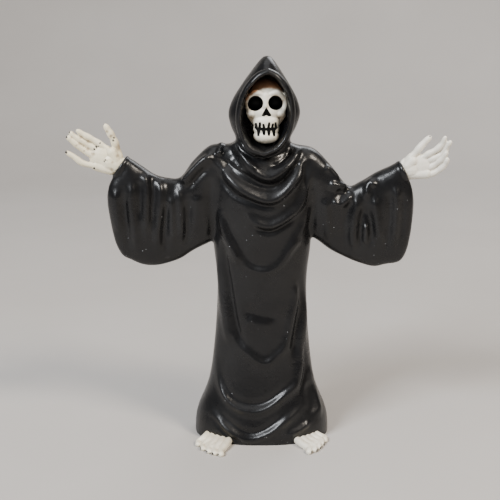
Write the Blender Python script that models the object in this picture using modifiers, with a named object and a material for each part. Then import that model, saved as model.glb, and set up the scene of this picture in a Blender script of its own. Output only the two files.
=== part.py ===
"""Grim reaper figurine: a hooded, robed skeleton with its arms held out, moulded in one piece.

Metres, +Z up. The figure faces -Y and stands on the flat underside of its robe. The origin is
the middle of that underside. Proportions are written as parts of the figure's own height,
150 of them from the floor to the point of the hood.
"""

import functools
import math

import bmesh
import bpy
import numpy as np
from mathutils import Matrix, Vector

# Driving dimensions, in metres
HEIGHT = 0.150
SPAN = 0.1474  # fingertip to fingertip
HEM_WIDTH = 0.0540
HEM_DEPTH = 0.0328
HEM_FORWARD = 0.0182  # from the middle of the body to the front of the hem
FOLD_HEIGHT = 0.0010  # an ordinary fold of the robe
FINGER_THICKNESS = 0.0029
FOOT_LENGTH = 0.0150  # from the hem to the tip of the big toe
TRIANGLES = 9000  # facets of the finished solid, before its last cuts

M = HEIGHT / 150.0
FOLD = FOLD_HEIGHT / M
FINGER = FINGER_THICKNESS / M / 2.0
ARM_ROOT = 19.0
WRIST = 53.0
REACH = 73.7
# The sleeves stretch with the span, and the hands keep their size and move out with them.
SHIFT = SPAN / M / 2.0 - REACH
STRETCH = (WRIST - ARM_ROOT + SHIFT) / (WRIST - ARM_ROOT)

# Grain of the skins that join overlapping forms, from the robe's to the fingers'
VOXEL = 0.9
FINE_VOXEL = 0.3
JOIN_VOXEL = 0.36
NARROWEST_FOLD = 1.45  # half width, so that its facets stay clean
PAINT_REACH = 0.45  # how far a painted facet may lie from its piece
LEFT, RIGHT = -1.0, 1.0


def clear_scene():
    for obj in list(bpy.data.objects):
        bpy.data.objects.remove(obj, do_unlink=True)


def collection(name):
    made = bpy.data.collections.new(name)
    bpy.context.scene.collection.children.link(made)
    return made


def material(name, colour, roughness, coat=0.0):
    made = bpy.data.materials.new(name)
    made.use_nodes = True
    shader = made.node_tree.nodes["Principled BSDF"]
    shader.inputs["Base Color"].default_value = (*colour, 1.0)
    shader.inputs["Roughness"].default_value = roughness
    shader.inputs["Metallic"].default_value = 0.0
    shader.inputs["Coat Weight"].default_value = coat
    made.diffuse_color = (*colour, 1.0)
    return made


def smooth_path(points, count):
    """Evenly many points along a Catmull-Rom curve through the given ones."""
    points = np.array(points, float)
    ends = np.vstack([2 * points[0] - points[1], points, 2 * points[-1] - points[-2]])
    at = np.linspace(0, len(points) - 1, count)
    span = np.minimum(at.astype(int), len(points) - 2)
    t = (at - span)[:, None]
    p0, p1, p2, p3 = (ends[span + k] for k in range(4))
    return 0.5 * (2 * p1 + (p2 - p0) * t + (2 * p0 - 5 * p1 + 4 * p2 - p3) * t**2
                  + (3 * p1 - p0 - 3 * p2 + p3) * t**3)


def profile(keys, at):
    """Rows of values, read smoothly at each place in `at`, from keys of (place, value, ...)."""
    keys = np.array(keys, float)
    dense = smooth_path(keys, 24 * len(keys))
    dense = dense[np.argsort(dense[:, 0], kind="stable")]
    columns = [np.interp(at, dense[:, 0], dense[:, k]) for k in range(1, keys.shape[1])]
    return np.stack(columns, axis=1)


def add_loft(bm, rings):
    """One closed skin through rings of points, in parts of the height."""
    loops = [[bm.verts.new(Vector(point) * M) for point in ring] for ring in rings]
    faces = []
    for low, high in zip(loops, loops[1:]):
        for i, corner in enumerate(low):
            j = (i + 1) % len(low)
            faces.append(bm.faces.new((corner, low[j], high[j], high[i])))
    faces.append(bm.faces.new(loops[0][::-1]))
    faces.append(bm.faces.new(loops[-1]))
    bmesh.ops.recalc_face_normals(bm, faces=faces)


@functools.lru_cache
def unit_ball(segments):
    """The corners and faces of a sphere of radius 1."""
    ball = bmesh.new()
    bmesh.ops.create_uvsphere(ball, u_segments=segments, v_segments=segments // 2, radius=1.0)
    ball.verts.index_update()
    corners = [corner.co.copy() for corner in ball.verts]
    faces = [[corner.index for corner in face.verts] for face in ball.faces]
    ball.free()
    return corners, faces


def add_ball(bm, centre, radii, turn=None, segments=16):
    """An ellipsoid, in parts of the height, turned by a matrix if one is given."""
    size = Matrix.Diagonal((*(Vector(radii) * M), 1.0))
    turned = turn.to_4x4() if turn is not None else Matrix.Identity(4)
    place = Matrix.Translation(Vector(centre) * M) @ turned @ size
    corners, faces = unit_ball(segments)
    made = [bm.verts.new(place @ corner) for corner in corners]
    for face in faces:
        bm.faces.new([made[k] for k in face])


def add_stroke(bm, points, radii, flat=1.0, across=(0.0, 1.0, 0.0)):
    """Overlapping beads along a smooth curve. A flat bead is thinner in the direction `across`."""
    length = sum((Vector(b) - Vector(a)).length for a, b in zip(points, points[1:]))
    count = max(4, int(2.6 * length / min(radii)))
    path = smooth_path([(*p, r) for p, r in zip(points, radii)], count)
    frame = Vector(across).to_track_quat("Y", "Z").to_matrix()
    for x, y, z, radius in path:
        add_ball(bm, (x, y, z), (radius, radius * flat, radius), frame, 12)


def mesh_object(name, bm, home):
    mesh = bpy.data.meshes.new(name)
    bm.to_mesh(mesh)
    bm.free()
    obj = bpy.data.objects.new(name, mesh)
    home.objects.link(obj)
    return obj


def apply_modifiers(obj):
    bpy.context.view_layer.update()
    evaluated = obj.evaluated_get(bpy.context.evaluated_depsgraph_get())
    mesh = bpy.data.meshes.new_from_object(evaluated)
    obj.modifiers.clear()
    old = obj.data
    obj.data = mesh
    bpy.data.meshes.remove(old)


def fuse(obj, voxel, rounds):
    """Make one skin of overlapping forms and soften where they meet."""
    remesh = obj.modifiers.new("Fuse", "REMESH")
    remesh.mode = "VOXEL"
    remesh.voxel_size = voxel * M
    apply_modifiers(obj)
    soften(obj, rounds)


def reduce_to(obj, triangles):
    obj.data.calc_loop_triangles()
    thin = obj.modifiers.new("Facets", "DECIMATE")
    thin.ratio = min(1.0, triangles / len(obj.data.loop_triangles))
    apply_modifiers(obj)


def combine(obj, other, operation):
    """Join or cut, keeping each face's own material."""
    step = obj.modifiers.new(operation.title(), "BOOLEAN")
    step.operation = operation
    step.solver = "EXACT"
    step.use_self = True
    step.material_mode = "TRANSFER"
    step.object = other
    apply_modifiers(obj)


def hide_cutter(obj):
    obj.hide_render = True
    obj.display_type = "WIRE"


# The robe's plain form: body, hood and sleeves

def oval(z, half_width, front, back, centre=0.0, sides=40, fullness=0.86):
    ring = []
    for i in range(sides):
        turn = 2 * math.pi * i / sides
        wide = math.copysign(abs(math.cos(turn)) ** fullness, math.cos(turn))
        deep = math.copysign(abs(math.sin(turn)) ** fullness, math.sin(turn))
        ring.append((centre + half_width * wide, deep * (back if deep > 0 else front), z))
    return ring


def add_body(bm):
    """Skirt, waist, chest and shoulders as ovals: height, half width, front and back depth."""
    hem, front, back = HEM_WIDTH / M / 2.0, HEM_FORWARD / M, (HEM_DEPTH - HEM_FORWARD) / M
    keys = (
        (-4, hem, front, back), (4, hem, front, back), (10, hem * 0.955, front * 0.93, back * 0.96),
        (22, hem * 0.79, front * 0.78, back * 0.86), (38, 19.0, 12.4, 11.4), (55, 17.8, 11.6, 10.6),
        (66, 17.8, 11.6, 10.4), (80, 19.2, 12.2, 10.8), (98, 19.4, 12.8, 11.4),
        (109, 17.2, 11.8, 11.2), (116, 12.4, 9.8, 9.6), (121, 8.0, 7.6, 7.6),
    )
    levels = np.linspace(keys[0][0], keys[-1][0], 60)
    rows = profile(keys, levels)
    add_loft(bm, [oval(z, *row) for z, row in zip(levels, rows)])


def hood_centre(z):
    return 0.3 + 0.045 * (z - 120.0)


def add_hood(bm):
    """A pointed hood: height, half width, front and back depth."""
    keys = (
        (108, 11.0, 9.0, 9.6), (116, 10.9, 9.4, 10.0), (119.5, 10.5, 9.6, 10.4),
        (124, 12.5, 10.2, 11.4), (129, 13.7, 10.6, 12.2), (134, 12.4, 10.8, 12.0),
        (139, 9.6, 10.8, 10.4), (143.5, 6.6, 9.6, 8.2), (147, 4.1, 7.6, 5.2), (149.4, 2.2, 4.6, 2.6),
        (150.4, 0.9, 2.0, 1.0),
    )
    levels = np.linspace(keys[0][0], keys[-1][0], 44)
    rows = profile(keys, levels)
    add_loft(bm, [oval(z, *row, centre=hood_centre(z), fullness=0.94) for z, row in zip(levels, rows)])


def rim_path(count, inset=0.0):
    """The hood's face opening, a pointed arch closed under the chin, as (x, z)."""
    side = [(0, 145.4), (-3.6, 143.6), (-7.2, 139.4), (-9.3, 134.4), (-10.0, 128.6), (-8.9, 122.6),
            (-5.4, 117.2), (0, 114.6)]
    half = smooth_path(side, count // 2)
    other = half[1:-1][::-1] * (-1, 1)
    path = np.vstack([half, other])
    middle = np.array((0.0, 130.0))
    length = np.linalg.norm(path - middle, axis=1, keepdims=True)
    path = middle + (path - middle) * (1 - inset / length)
    path[:, 0] += hood_centre(path[:, 1]) + 0.3
    return path


def rim_depth(z):
    """How far forward the rim stands: furthest at the brow and over the chest."""
    return -10.3 - 0.9 * np.clip((z - 132) / 12, 0, 1) - 1.2 * np.clip((122 - z) / 8, 0, 1)


def add_hood_rim(bm):
    for x, z in rim_path(90):
        add_ball(bm, (x, rim_depth(z) + 0.9, z), (1.35, 2.6, 1.35), None, 12)


def hood_hollow(home):
    """The space inside the hood that the skull sits in."""
    bm = bmesh.new()
    rings = []
    for depth, inset in ((-17, 0.6), (-11, 0.7), (-8, 1.2), (-5.2, 2.2), (-3.6, 4.2)):
        rings.append([(x, depth, z) for x, z in rim_path(56, inset)])
    add_loft(bm, rings)
    cutter = mesh_object("hood_hollow_cutter", bm, home)
    hide_cutter(cutter)
    return cutter


def out(x):
    """Where a place on the arm lies once the sleeve is stretched to the span."""
    beyond = max(0.0, abs(x) - ARM_ROOT)
    return math.copysign(min(abs(x), ARM_ROOT) + beyond * STRETCH, x)


def add_sleeve(bm, side):
    """Shoulder, crook and wide hanging sleeve, as upright sections along the arm.

    Keys: distance from the middle, top, bottom, half thickness at top and bottom.
    """
    if side == LEFT:
        keys = (
            (9, 119.5, 88, 8, 7), (13, 118, 82, 8.4, 6.5), (20, 116.2, 78.8, 8.2, 5.6),
            (26.6, 110.8, 75.6, 7.2, 4.8), (31.6, 104.4, 72.4, 6.4, 4.4), (36.5, 104.2, 70.6, 6.4, 4.4),
            (41.5, 105.6, 69.6, 6.5, 4.6), (46.6, 109.1, 70.0, 6.5, 4.6), (51.6, 112.0, 72.2, 6.1, 4.3),
            (54.6, 108.2, 74.0, 5.7, 3.9), (57.2, 105.0, 79.4, 4.9, 3.2), (58.9, 101.6, 88.5, 3.4, 2.4),
            (59.7, 98.2, 93.5, 1.2, 1.0),
        )
    else:
        keys = (
            (9, 118.5, 88, 8, 7), (13, 117, 82, 8.4, 6.5), (20, 115.3, 80.4, 8.2, 5.6),
            (26.6, 108.8, 75.8, 7.2, 4.8), (33.0, 101.2, 72.6, 6.4, 4.4), (38.0, 102.8, 70.6, 6.4, 4.4),
            (43.8, 106.4, 69.2, 6.5, 4.6), (48.4, 108.6, 70.2, 6.5, 4.6), (52.2, 110.2, 70.8, 6.1, 4.3),
            (54.6, 106.6, 72.2, 5.7, 3.9), (56.6, 103.4, 76.6, 4.9, 3.2), (57.8, 99.6, 84.0, 3.4, 2.4),
            (58.4, 96.0, 90.5, 1.2, 1.0),
        )
    first, last = keys[0][0], keys[-1][0]
    stations = last - (last - first) * np.cos(np.linspace(0, math.pi / 2, 52))
    stations[0], stations[-1] = first, last
    rings = []
    for x, (top, bottom, upper, lower) in zip(stations, profile(keys, stations)):
        forward = -0.4 - 2.6 * max(0.0, (x - ARM_ROOT) / (WRIST - ARM_ROOT))
        ring = []
        for i in range(36):
            turn = 2 * math.pi * i / 36
            drop = (1 - math.cos(turn)) / 2
            half = upper + (lower - upper) * drop
            rise = math.copysign(abs(math.cos(turn)) ** 0.8, math.cos(turn))
            bulge = math.copysign(abs(math.sin(turn)) ** 0.7, math.sin(turn))
            middle, reach = (top + bottom) / 2, (top - bottom) / 2
            ring.append((side * out(x), forward + half * bulge, middle + reach * rise))
        rings.append(ring)
    add_loft(bm, rings)


def add_cuff_lip(bm, side):
    """The rolled edge of the sleeve around the wrist."""
    top, bottom = ((51.7, 112.0), (56.7, 105.3)) if side == LEFT else ((52.3, 110.2), (55.4, 103.7))
    middle = ((top[0] + bottom[0]) / 2, (top[1] + bottom[1]) / 2)
    for i in range(28):
        turn = 2 * math.pi * i / 28
        along = math.cos(turn)
        x = side * (middle[0] + SHIFT + along * (top[0] - bottom[0]) / 2)
        z = middle[1] + along * (top[1] - bottom[1]) / 2
        add_ball(bm, (x, -3.2 + 4.9 * math.sin(turn), z), (0.95, 0.95, 0.95), None, 10)


# Folds, as raised or sunk lines on the front and back of the robe

def fold(height, above, below, *points):
    """A line of relief through (x, z) points, with its own width on each side of the line."""
    return height, above, below, points


def front_folds():
    return (
        # Cowl round the neck
        fold(1.3, 2.2, 1.2, (-12.9, 120.2), (-9.6, 115.3), (-5.0, 109.5), (-0.4, 106.5), (3.4, 106.1),
             (9.1, 109.5), (12.9, 113.7), (13.6, 116.8)),
        fold(-0.9, 1.2, 1.2, (-15.5, 112.4), (-9.3, 106.5), (-0.1, 102.3), (6.5, 103.2), (14.3, 112.8)),
        fold(1.6, 2.4, 1.3, (-19.8, 113.0), (-14.9, 108.0), (-9.6, 102.6), (-4.2, 99.5), (1.6, 97.5),
             (4.6, 97.9), (9.2, 101.4), (13.0, 106.0), (14.8, 110.7), (17.5, 112.6)),
        fold(1.0, 1.9, 1.2, (-6.0, 95.1), (-4.3, 90.3), (-0.1, 88.2), (2.9, 87.3), (6.6, 89.1),
             (10.8, 91.6), (14.3, 95.2), (17.4, 104.0), (19.3, 111.6)),
        fold(0.7, 1.8, 1.8, (21.1, 107.4), (19.1, 98.9), (17.1, 92.5), (15.1, 86.0), (7.6, 73.8)),
        # Where the sleeves leave the body
        fold(-0.9, 1.9, 1.9, (-20.1, 106.6), (-20.0, 93.7), (-19.3, 85.0), (-19.9, 80.0)),
        fold(-0.9, 1.9, 1.9, (19.7, 105.8), (19.4, 98.0), (19.1, 89.4), (18.6, 81.0)),
        # Waist
        fold(-0.6, 1.5, 1.5, (-15.2, 93.4), (-13.2, 87.8), (-10.2, 81.7), (-4.3, 72.9), (2.5, 70.3)),
        fold(0.7, 1.5, 1.5, (-16.9, 94.6), (-14.5, 83.9), (-11.1, 77.3), (-8.6, 70.7)),
        fold(0.6, 1.8, 1.4, (-7.2, 71.7), (0.6, 69.3), (6.5, 71.7), (11.5, 78.7), (14.9, 82.2)),
        # Long folds down each side of the skirt
        fold(-1.0, 1.5, 1.5, (-15.0, 82.0), (-14.6, 73.0), (-13.1, 64.3), (-11.7, 55.0), (-9.3, 44.0),
             (-4.7, 33.7)),
        fold(0.7, 1.8, 1.8, (-17.2, 76.0), (-16.0, 62.0), (-14.2, 48.0), (-12.6, 38.0)),
        fold(-0.8, 1.2, 1.5, (-5.9, 53.2), (-1.0, 51.2), (4.2, 50.3)),
        fold(0.7, 2.2, 2.2, (-5.1, 50.4), (-2.0, 47.3), (3.0, 47.3)),
        fold(0.7, 1.7, 1.7, (12.2, 63.9), (13.3, 58.5), (11.6, 50.2), (9.0, 38.7), (3.1, 33.2)),
        fold(-0.8, 1.4, 1.4, (14.4, 66.0), (15.0, 55.0), (13.0, 42.0), (12.4, 33.0)),
        fold(0.8, 1.7, 1.7, (16.2, 62.3), (16.6, 50.2), (15.6, 39.9), (15.2, 31.0), (13.1, 22.0)),
        # Swags over the hem
        fold(0.8, 1.6, 1.4, (-10.5, 43.0), (-6.0, 36.5), (-1.0, 32.8), (2.5, 32.5), (7.0, 35.5)),
        fold(-0.8, 1.4, 1.2, (-16.5, 32.0), (-14.8, 22.0), (-9.5, 16.9), (-1.0, 16.4), (5.0, 19.0),
             (11.0, 24.0)),
        fold(1.1, 1.5, 1.4, (-18.4, 32.0), (-15.8, 21.3), (-11.5, 15.6), (-4.0, 13.2), (2.0, 14.6),
             (8.0, 18.8), (13.4, 23.0), (16.0, 30.0)),
        fold(-0.8, 1.2, 1.2, (-17.0, 13.0), (-12.3, 8.2), (-4.7, 4.9), (2.2, 7.0), (8.2, 11.6)),
        fold(1.2, 1.5, 1.4, (-20.4, 11.6), (-13.9, 5.9), (-6.7, 2.6), (1.2, 4.2), (9.2, 9.4),
             (16.2, 14.6)),
        fold(-1.1, 2.0, 2.0, (18.6, 19.5), (19.3, 15.8), (19.8, 11.9)),
        fold(0.7, 1.5, 1.5, (18.6, 30.6), (20.9, 21.8), (22.4, 14.9), (23.4, 7.4)),
        fold(0.6, 1.2, 1.2, (9.6, 3.6), (14.8, 5.6), (19.4, 8.2)),
    )


def sleeve_folds():
    return (
        # Left sleeve, from the crook outwards
        fold(-1.3, 1.3, 1.3, (-28.5, 97.0), (-28.6, 89.6), (-29.3, 82.4), (-29.7, 76.7)),
        fold(0.9, 1.2, 1.2, (-32.4, 101.6), (-31.5, 95.0), (-31.2, 87.8), (-31.2, 79.0)),
        fold(0.7, 1.3, 1.3, (-24.6, 105.0), (-25.2, 95.0), (-25.6, 84.0)),
        fold(-1.2, 1.1, 1.1, (-36.2, 96.5), (-37.3, 87.8), (-37.7, 81.0), (-37.2, 74.9)),
        fold(0.8, 1.1, 1.1, (-34.9, 99.0), (-34.8, 89.6), (-34.3, 78.0)),
        fold(0.9, 1.2, 1.2, (-40.0, 105.2), (-38.8, 99.0), (-39.4, 91.2), (-40.4, 84.0), (-40.6, 75.0)),
        fold(-0.9, 0.9, 0.9, (-43.0, 106.0), (-41.6, 100.1), (-42.0, 93.5), (-42.4, 82.4)),
        fold(0.9, 1.2, 1.2, (-45.6, 107.3), (-44.2, 101.5), (-44.6, 92.0), (-44.4, 79.8)),
        fold(-0.9, 1.0, 1.0, (-47.2, 105.2), (-46.6, 97.8), (-46.8, 88.2)),
        fold(0.9, 1.3, 1.3, (-49.6, 104.4), (-50.0, 96.1), (-49.2, 86.4), (-48.2, 76.0)),
        fold(-1.1, 1.1, 1.1, (-52.9, 100.6), (-52.8, 91.2), (-52.2, 84.0), (-51.4, 76.0)),
        fold(0.8, 1.3, 1.3, (-56.0, 101.6), (-55.8, 92.2), (-54.9, 83.0)),
        # Right sleeve, gathered to a pouch at the crook
        fold(1.0, 1.2, 1.0, (25.0, 103.0), (28.9, 101.8), (32.7, 101.0)),
        fold(-1.2, 1.4, 1.4, (27.8, 100.0), (31.0, 98.6), (33.4, 100.0)),
        fold(1.0, 1.2, 1.2, (26.6, 97.0), (29.0, 94.8), (31.6, 96.0), (34.6, 99.5)),
        fold(-1.0, 1.2, 1.2, (35.2, 97.0), (32.7, 91.6), (31.5, 86.0), (32.6, 76.0)),
        fold(0.8, 1.3, 1.3, (24.2, 98.0), (24.8, 90.0), (26.2, 80.0)),
        fold(0.9, 1.2, 1.2, (36.6, 99.8), (35.5, 91.0), (35.0, 83.0), (35.8, 75.2)),
        fold(0.9, 1.0, 1.0, (39.8, 96.0), (40.2, 101.2), (41.7, 103.0), (43.0, 101.0)),
        fold(-1.2, 1.0, 1.0, (39.4, 94.9), (38.4, 89.8), (37.9, 84.4), (37.9, 76.8)),
        fold(-1.2, 1.0, 1.0, (39.6, 93.9), (41.0, 89.2), (42.0, 83.8), (41.4, 76.2)),
        fold(0.7, 0.9, 0.9, (39.8, 87.5), (39.7, 78.9)),
        fold(0.9, 1.2, 1.2, (42.6, 99.1), (44.0, 89.2), (45.6, 79.2)),
        fold(-1.2, 1.1, 1.1, (48.2, 101.3), (48.9, 92.8), (48.6, 83.4), (47.9, 75.9)),
        fold(0.9, 1.2, 1.2, (50.8, 103.1), (51.2, 92.0), (50.6, 77.4)),
        fold(-0.7, 0.9, 0.9, (53.3, 100.1), (53.8, 90.0), (53.3, 80.0)),
    )


def back_folds():
    folds = [
        # Hood and cowl
        fold(0.9, 2.0, 2.0, (0.8, 142.0), (0.5, 132.0), (0.3, 121.0)),
        fold(1.2, 1.4, 2.2, (13.5, 117.0), (8.0, 108.5), (0.0, 105.0), (-8.0, 108.5), (-13.5, 117.0)),
        fold(-0.8, 1.3, 1.3, (14.5, 111.0), (8.0, 104.0), (0.0, 101.0), (-8.0, 104.0), (-14.5, 111.0)),
        fold(1.2, 1.4, 2.4, (17.5, 110.5), (9.5, 100.0), (0.0, 96.0), (-9.5, 100.0), (-17.5, 110.5)),
        fold(-1.1, 1.8, 1.8, (20.0, 106.0), (19.4, 94.0), (19.0, 81.0)),
        fold(-1.1, 1.8, 1.8, (-20.0, 106.0), (-19.6, 94.0), (-19.4, 80.0)),
    ]
    # Long folds from the waist to the hem, wider apart at the hem, with hollows between
    for x in (-12.5, -6.0, 0.5, 7.0, 13.0):
        folds.append(fold(0.9, 1.9, 1.9, (x * 0.75, 84.0), (x * 0.85, 60.0), (x, 34.0), (x * 1.35, 6.0)))
    for x in (-9.3, -2.8, 3.8, 10.2):
        folds.append(fold(-0.7, 1.6, 1.6, (x * 0.8, 76.0), (x * 0.9, 50.0), (x * 1.25, 10.0)))
    # Hanging folds of both sleeves
    for side in (LEFT, RIGHT):
        for x, top in ((25.0, 104.0), (31.0, 99.0), (37.5, 99.0), (44.0, 102.0), (50.5, 104.0)):
            folds.append(fold(0.9, 1.4, 1.4, (side * x, top), (side * (x + 0.6), 88.0), (side * x, 74.0)))
        for x in (28.2, 34.4, 40.8, 47.4):
            folds.append(fold(-0.9, 1.2, 1.2, (side * x, 99.0), (side * x, 78.0)))
    return folds


def line_relief(place, height, above, below, points):
    """How much one fold raises each (x, z) place: full on its line, fading across it and at its ends."""
    path = smooth_path(points, 10 * len(points))
    along = np.linspace(0, 1, len(path))
    start, step = path[:-1], np.diff(path, axis=0)
    gap = place[:, None, :] - start[None]
    share = np.clip((gap * step).sum(2) / (step**2).sum(1), 0, 1)
    off = gap - share[..., None] * step
    distance = np.sqrt((off**2).sum(2))
    nearest = distance.argmin(1)
    rows = np.arange(len(place))
    offset, direction = off[rows, nearest], step[nearest]
    upper = (direction[:, 0] * offset[:, 1] - direction[:, 1] * offset[:, 0]) > 0
    width = np.maximum(np.where(upper, above, below), NARROWEST_FOLD)
    where = along[nearest] + share[rows, nearest] / (len(path) - 1)
    taper = np.clip(np.minimum(where, 1 - where) / 0.14, 0.12, 1)
    return height * np.sqrt(taper) * np.exp(-((distance[rows, nearest] / width) ** 2))


def carve_folds(obj, folds, facing):
    """Raise and sink the side of the robe that faces the given way along Y."""
    mesh = obj.data
    count = len(mesh.vertices)
    points, normals = np.empty(count * 3), np.empty(count * 3)
    mesh.vertices.foreach_get("co", points)
    mesh.vertices.foreach_get("normal", normals)
    points, normals = points.reshape(-1, 3), normals.reshape(-1, 3)
    weight = np.clip((normals[:, 1] * facing - 0.1) / 0.4, 0, 1)
    place = points[:, (0, 2)] / M
    beyond = np.maximum(0, np.abs(place[:, 0]) - ARM_ROOT)
    place[:, 0] = np.sign(place[:, 0]) * (np.minimum(np.abs(place[:, 0]), ARM_ROOT) + beyond / STRETCH)
    chosen = weight > 0
    total = np.zeros(count)
    for height, above, below, path in folds:
        total[chosen] += line_relief(place[chosen], height, above, below, path)
    total *= weight * FOLD * M
    points += normals * total[:, None]
    mesh.vertices.foreach_set("co", points.reshape(-1))
    mesh.update()


def soften(obj, rounds):
    step = obj.modifiers.new("Soften", "SMOOTH")
    step.factor = 0.5
    step.iterations = rounds
    apply_modifiers(obj)


def make_robe(home, cutters):
    hood = bmesh.new()
    add_hood(hood)
    hood = mesh_object("hood", hood, home)
    combine(hood, hood_hollow(cutters), "DIFFERENCE")
    bm = bmesh.new()
    bm.from_mesh(hood.data)
    bpy.data.objects.remove(hood)
    add_body(bm)
    add_hood_rim(bm)
    for side in (LEFT, RIGHT):
        add_sleeve(bm, side)
        add_cuff_lip(bm, side)
    robe = mesh_object("grim_reaper_figurine", bm, home)
    fuse(robe, VOXEL, 4)
    carve_folds(robe, front_folds() + sleeve_folds(), -1.0)
    carve_folds(robe, back_folds(), 1.0)
    soften(robe, 1)
    return robe


def below_floor(cutters):
    bm = bmesh.new()
    size = Matrix.Diagonal((200 * M, 200 * M, 40 * M, 1.0))
    bmesh.ops.create_cube(bm, size=1.0, matrix=Matrix.Translation((0, 0, -20 * M)) @ size)
    cutter = mesh_object("floor_cutter", bm, cutters)
    hide_cutter(cutter)
    return cutter


# The skull

def make_skull(home):
    bm = bmesh.new()
    add_ball(bm, (1.2, -2.4, 134.6), (7.5, 7.6, 8.6), None, 32)
    add_ball(bm, (1.2, -4.6, 130.4), (6.9, 5.2, 4.6), None, 24)
    for side in (LEFT, RIGHT):
        add_ball(bm, (1.2 + side * 5.3, -6.4, 129.7), (2.1, 2.6, 1.6))
        add_stroke(bm, [(1.2 + side * 0.8, -9.0, 136.6), (1.2 + side * 4.0, -9.0, 137.5),
                        (1.2 + side * 6.9, -6.6, 135.2)], [0.8, 1.0, 0.8])
        add_stroke(bm, [(1.2 + side * 6.9, -5.9, 136.2), (1.3 + side * 6.9, -5.6, 133.0),
                        (1.4 + side * 6.0, -6.2, 130.2)], [1.0, 1.1, 1.2])
    add_ball(bm, (1.3, -6.0, 126.6), (5.2, 4.3, 3.2), None, 24)
    add_ball(bm, (1.4, -5.8, 123.8), (5.0, 4.2, 3.4), None, 24)
    add_ball(bm, (1.4, -6.1, 121.0), (4.9, 4.1, 2.9), None, 24)
    add_stroke(bm, [(1.1, -9.0, 136.4), (1.1, -9.5, 132.6)], [1.2, 0.9])
    skull = mesh_object("skull", bm, home)
    fuse(skull, FINE_VOXEL, 3)
    return skull


def add_socket(bm, x, z, wide, tall):
    """A round hollow with a rounded bottom, sunk a little downwards into the face."""
    rings = []
    for depth, share in ((-5.0, 1.0), (2.6, 1.0), (3.8, 0.84), (4.6, 0.4)):
        ring = []
        for i in range(24):
            turn = 2 * math.pi * i / 24
            ring.append((x + wide * share * math.cos(turn), -9.2 + depth,
                         z - 0.22 * depth + tall * share * math.sin(turn)))
        rings.append(ring)
    add_loft(bm, rings)


def add_sunk_outline(bm, outline, back):
    """An outline of (x, z) points sunk into the face, as deep as `back` says at each x."""
    add_loft(bm, [[(x, -15.0, z) for x, z in outline], [(x, back(x), z) for x, z in outline]])


def jaw_depth(x):
    """The bottom of the gaps between the teeth, a little under the curved front of the jaws."""
    return -8.9 + 4.2 * (1 - math.sqrt(max(0.0, 1 - ((x - 1.4) / 5.2) ** 2)))


def mouth_outline():
    """The mouth's dark line, with a slot up or down at each gap between two teeth."""
    upper = ((-2.4, 126.4), (-0.55, 126.5), (0.8, 126.2), (2.45, 126.5), (4.2, 126.3), (5.3, 125.9))
    lower = ((-1.3, 121.6), (0.5, 121.3), (2.15, 121.4), (3.85, 121.5))
    outline = [(-3.0, 124.0)]
    for x, z in upper:
        outline += [(x - 0.42, 124.3), (x - 0.24, z), (x + 0.2, z), (x + 0.38, 124.3)]
    outline.append((5.9, 124.0))
    for x, z in reversed(lower):
        outline += [(x + 0.42, 123.55), (x + 0.22, z), (x - 0.22, z), (x - 0.42, 123.55)]
    return outline


def skull_holes(cutters, black):
    """Eye sockets, nose and the gaps of the teeth."""
    holes = bmesh.new()
    add_socket(holes, -2.7, 133.5, 2.78, 2.74)
    add_socket(holes, 4.75, 133.7, 2.65, 2.55)
    nose = [(1.35, 132.1), (0.55, 130.9), (-0.25, 129.4), (-0.35, 128.8), (0.5, 128.6), (1.35, 129.1),
            (2.3, 128.6), (3.2, 128.8), (3.1, 129.4), (2.15, 130.9)]
    add_sunk_outline(holes, nose, lambda x: -8.2)
    add_sunk_outline(holes, mouth_outline(), jaw_depth)
    cutter = mesh_object("skull_holes_cutter", holes, cutters)
    cutter.data.materials.append(black)
    hide_cutter(cutter)
    return cutter


# Hands and feet, where each finger or toe is a curve through its joints

def add_finger(bm, points, thickness=1.0, tip=0.86):
    """Beads along a finger, a little fuller at the joints than between them."""
    path = smooth_path(points, 13)
    radii = []
    for i in range(len(path)):
        share = i / (len(path) - 1)
        joint = 0.5 + 0.5 * math.cos(6 * math.pi * share)
        radii.append(FINGER * thickness * (1 - (1 - tip) * share) * (0.93 + 0.1 * joint))
    add_stroke(bm, [tuple(p) for p in path], radii)


def moved_out(points, side):
    """The same points on the hand of an arm of the given span."""
    return [(x + side * SHIFT, y, z) for x, y, z in points]


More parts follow.
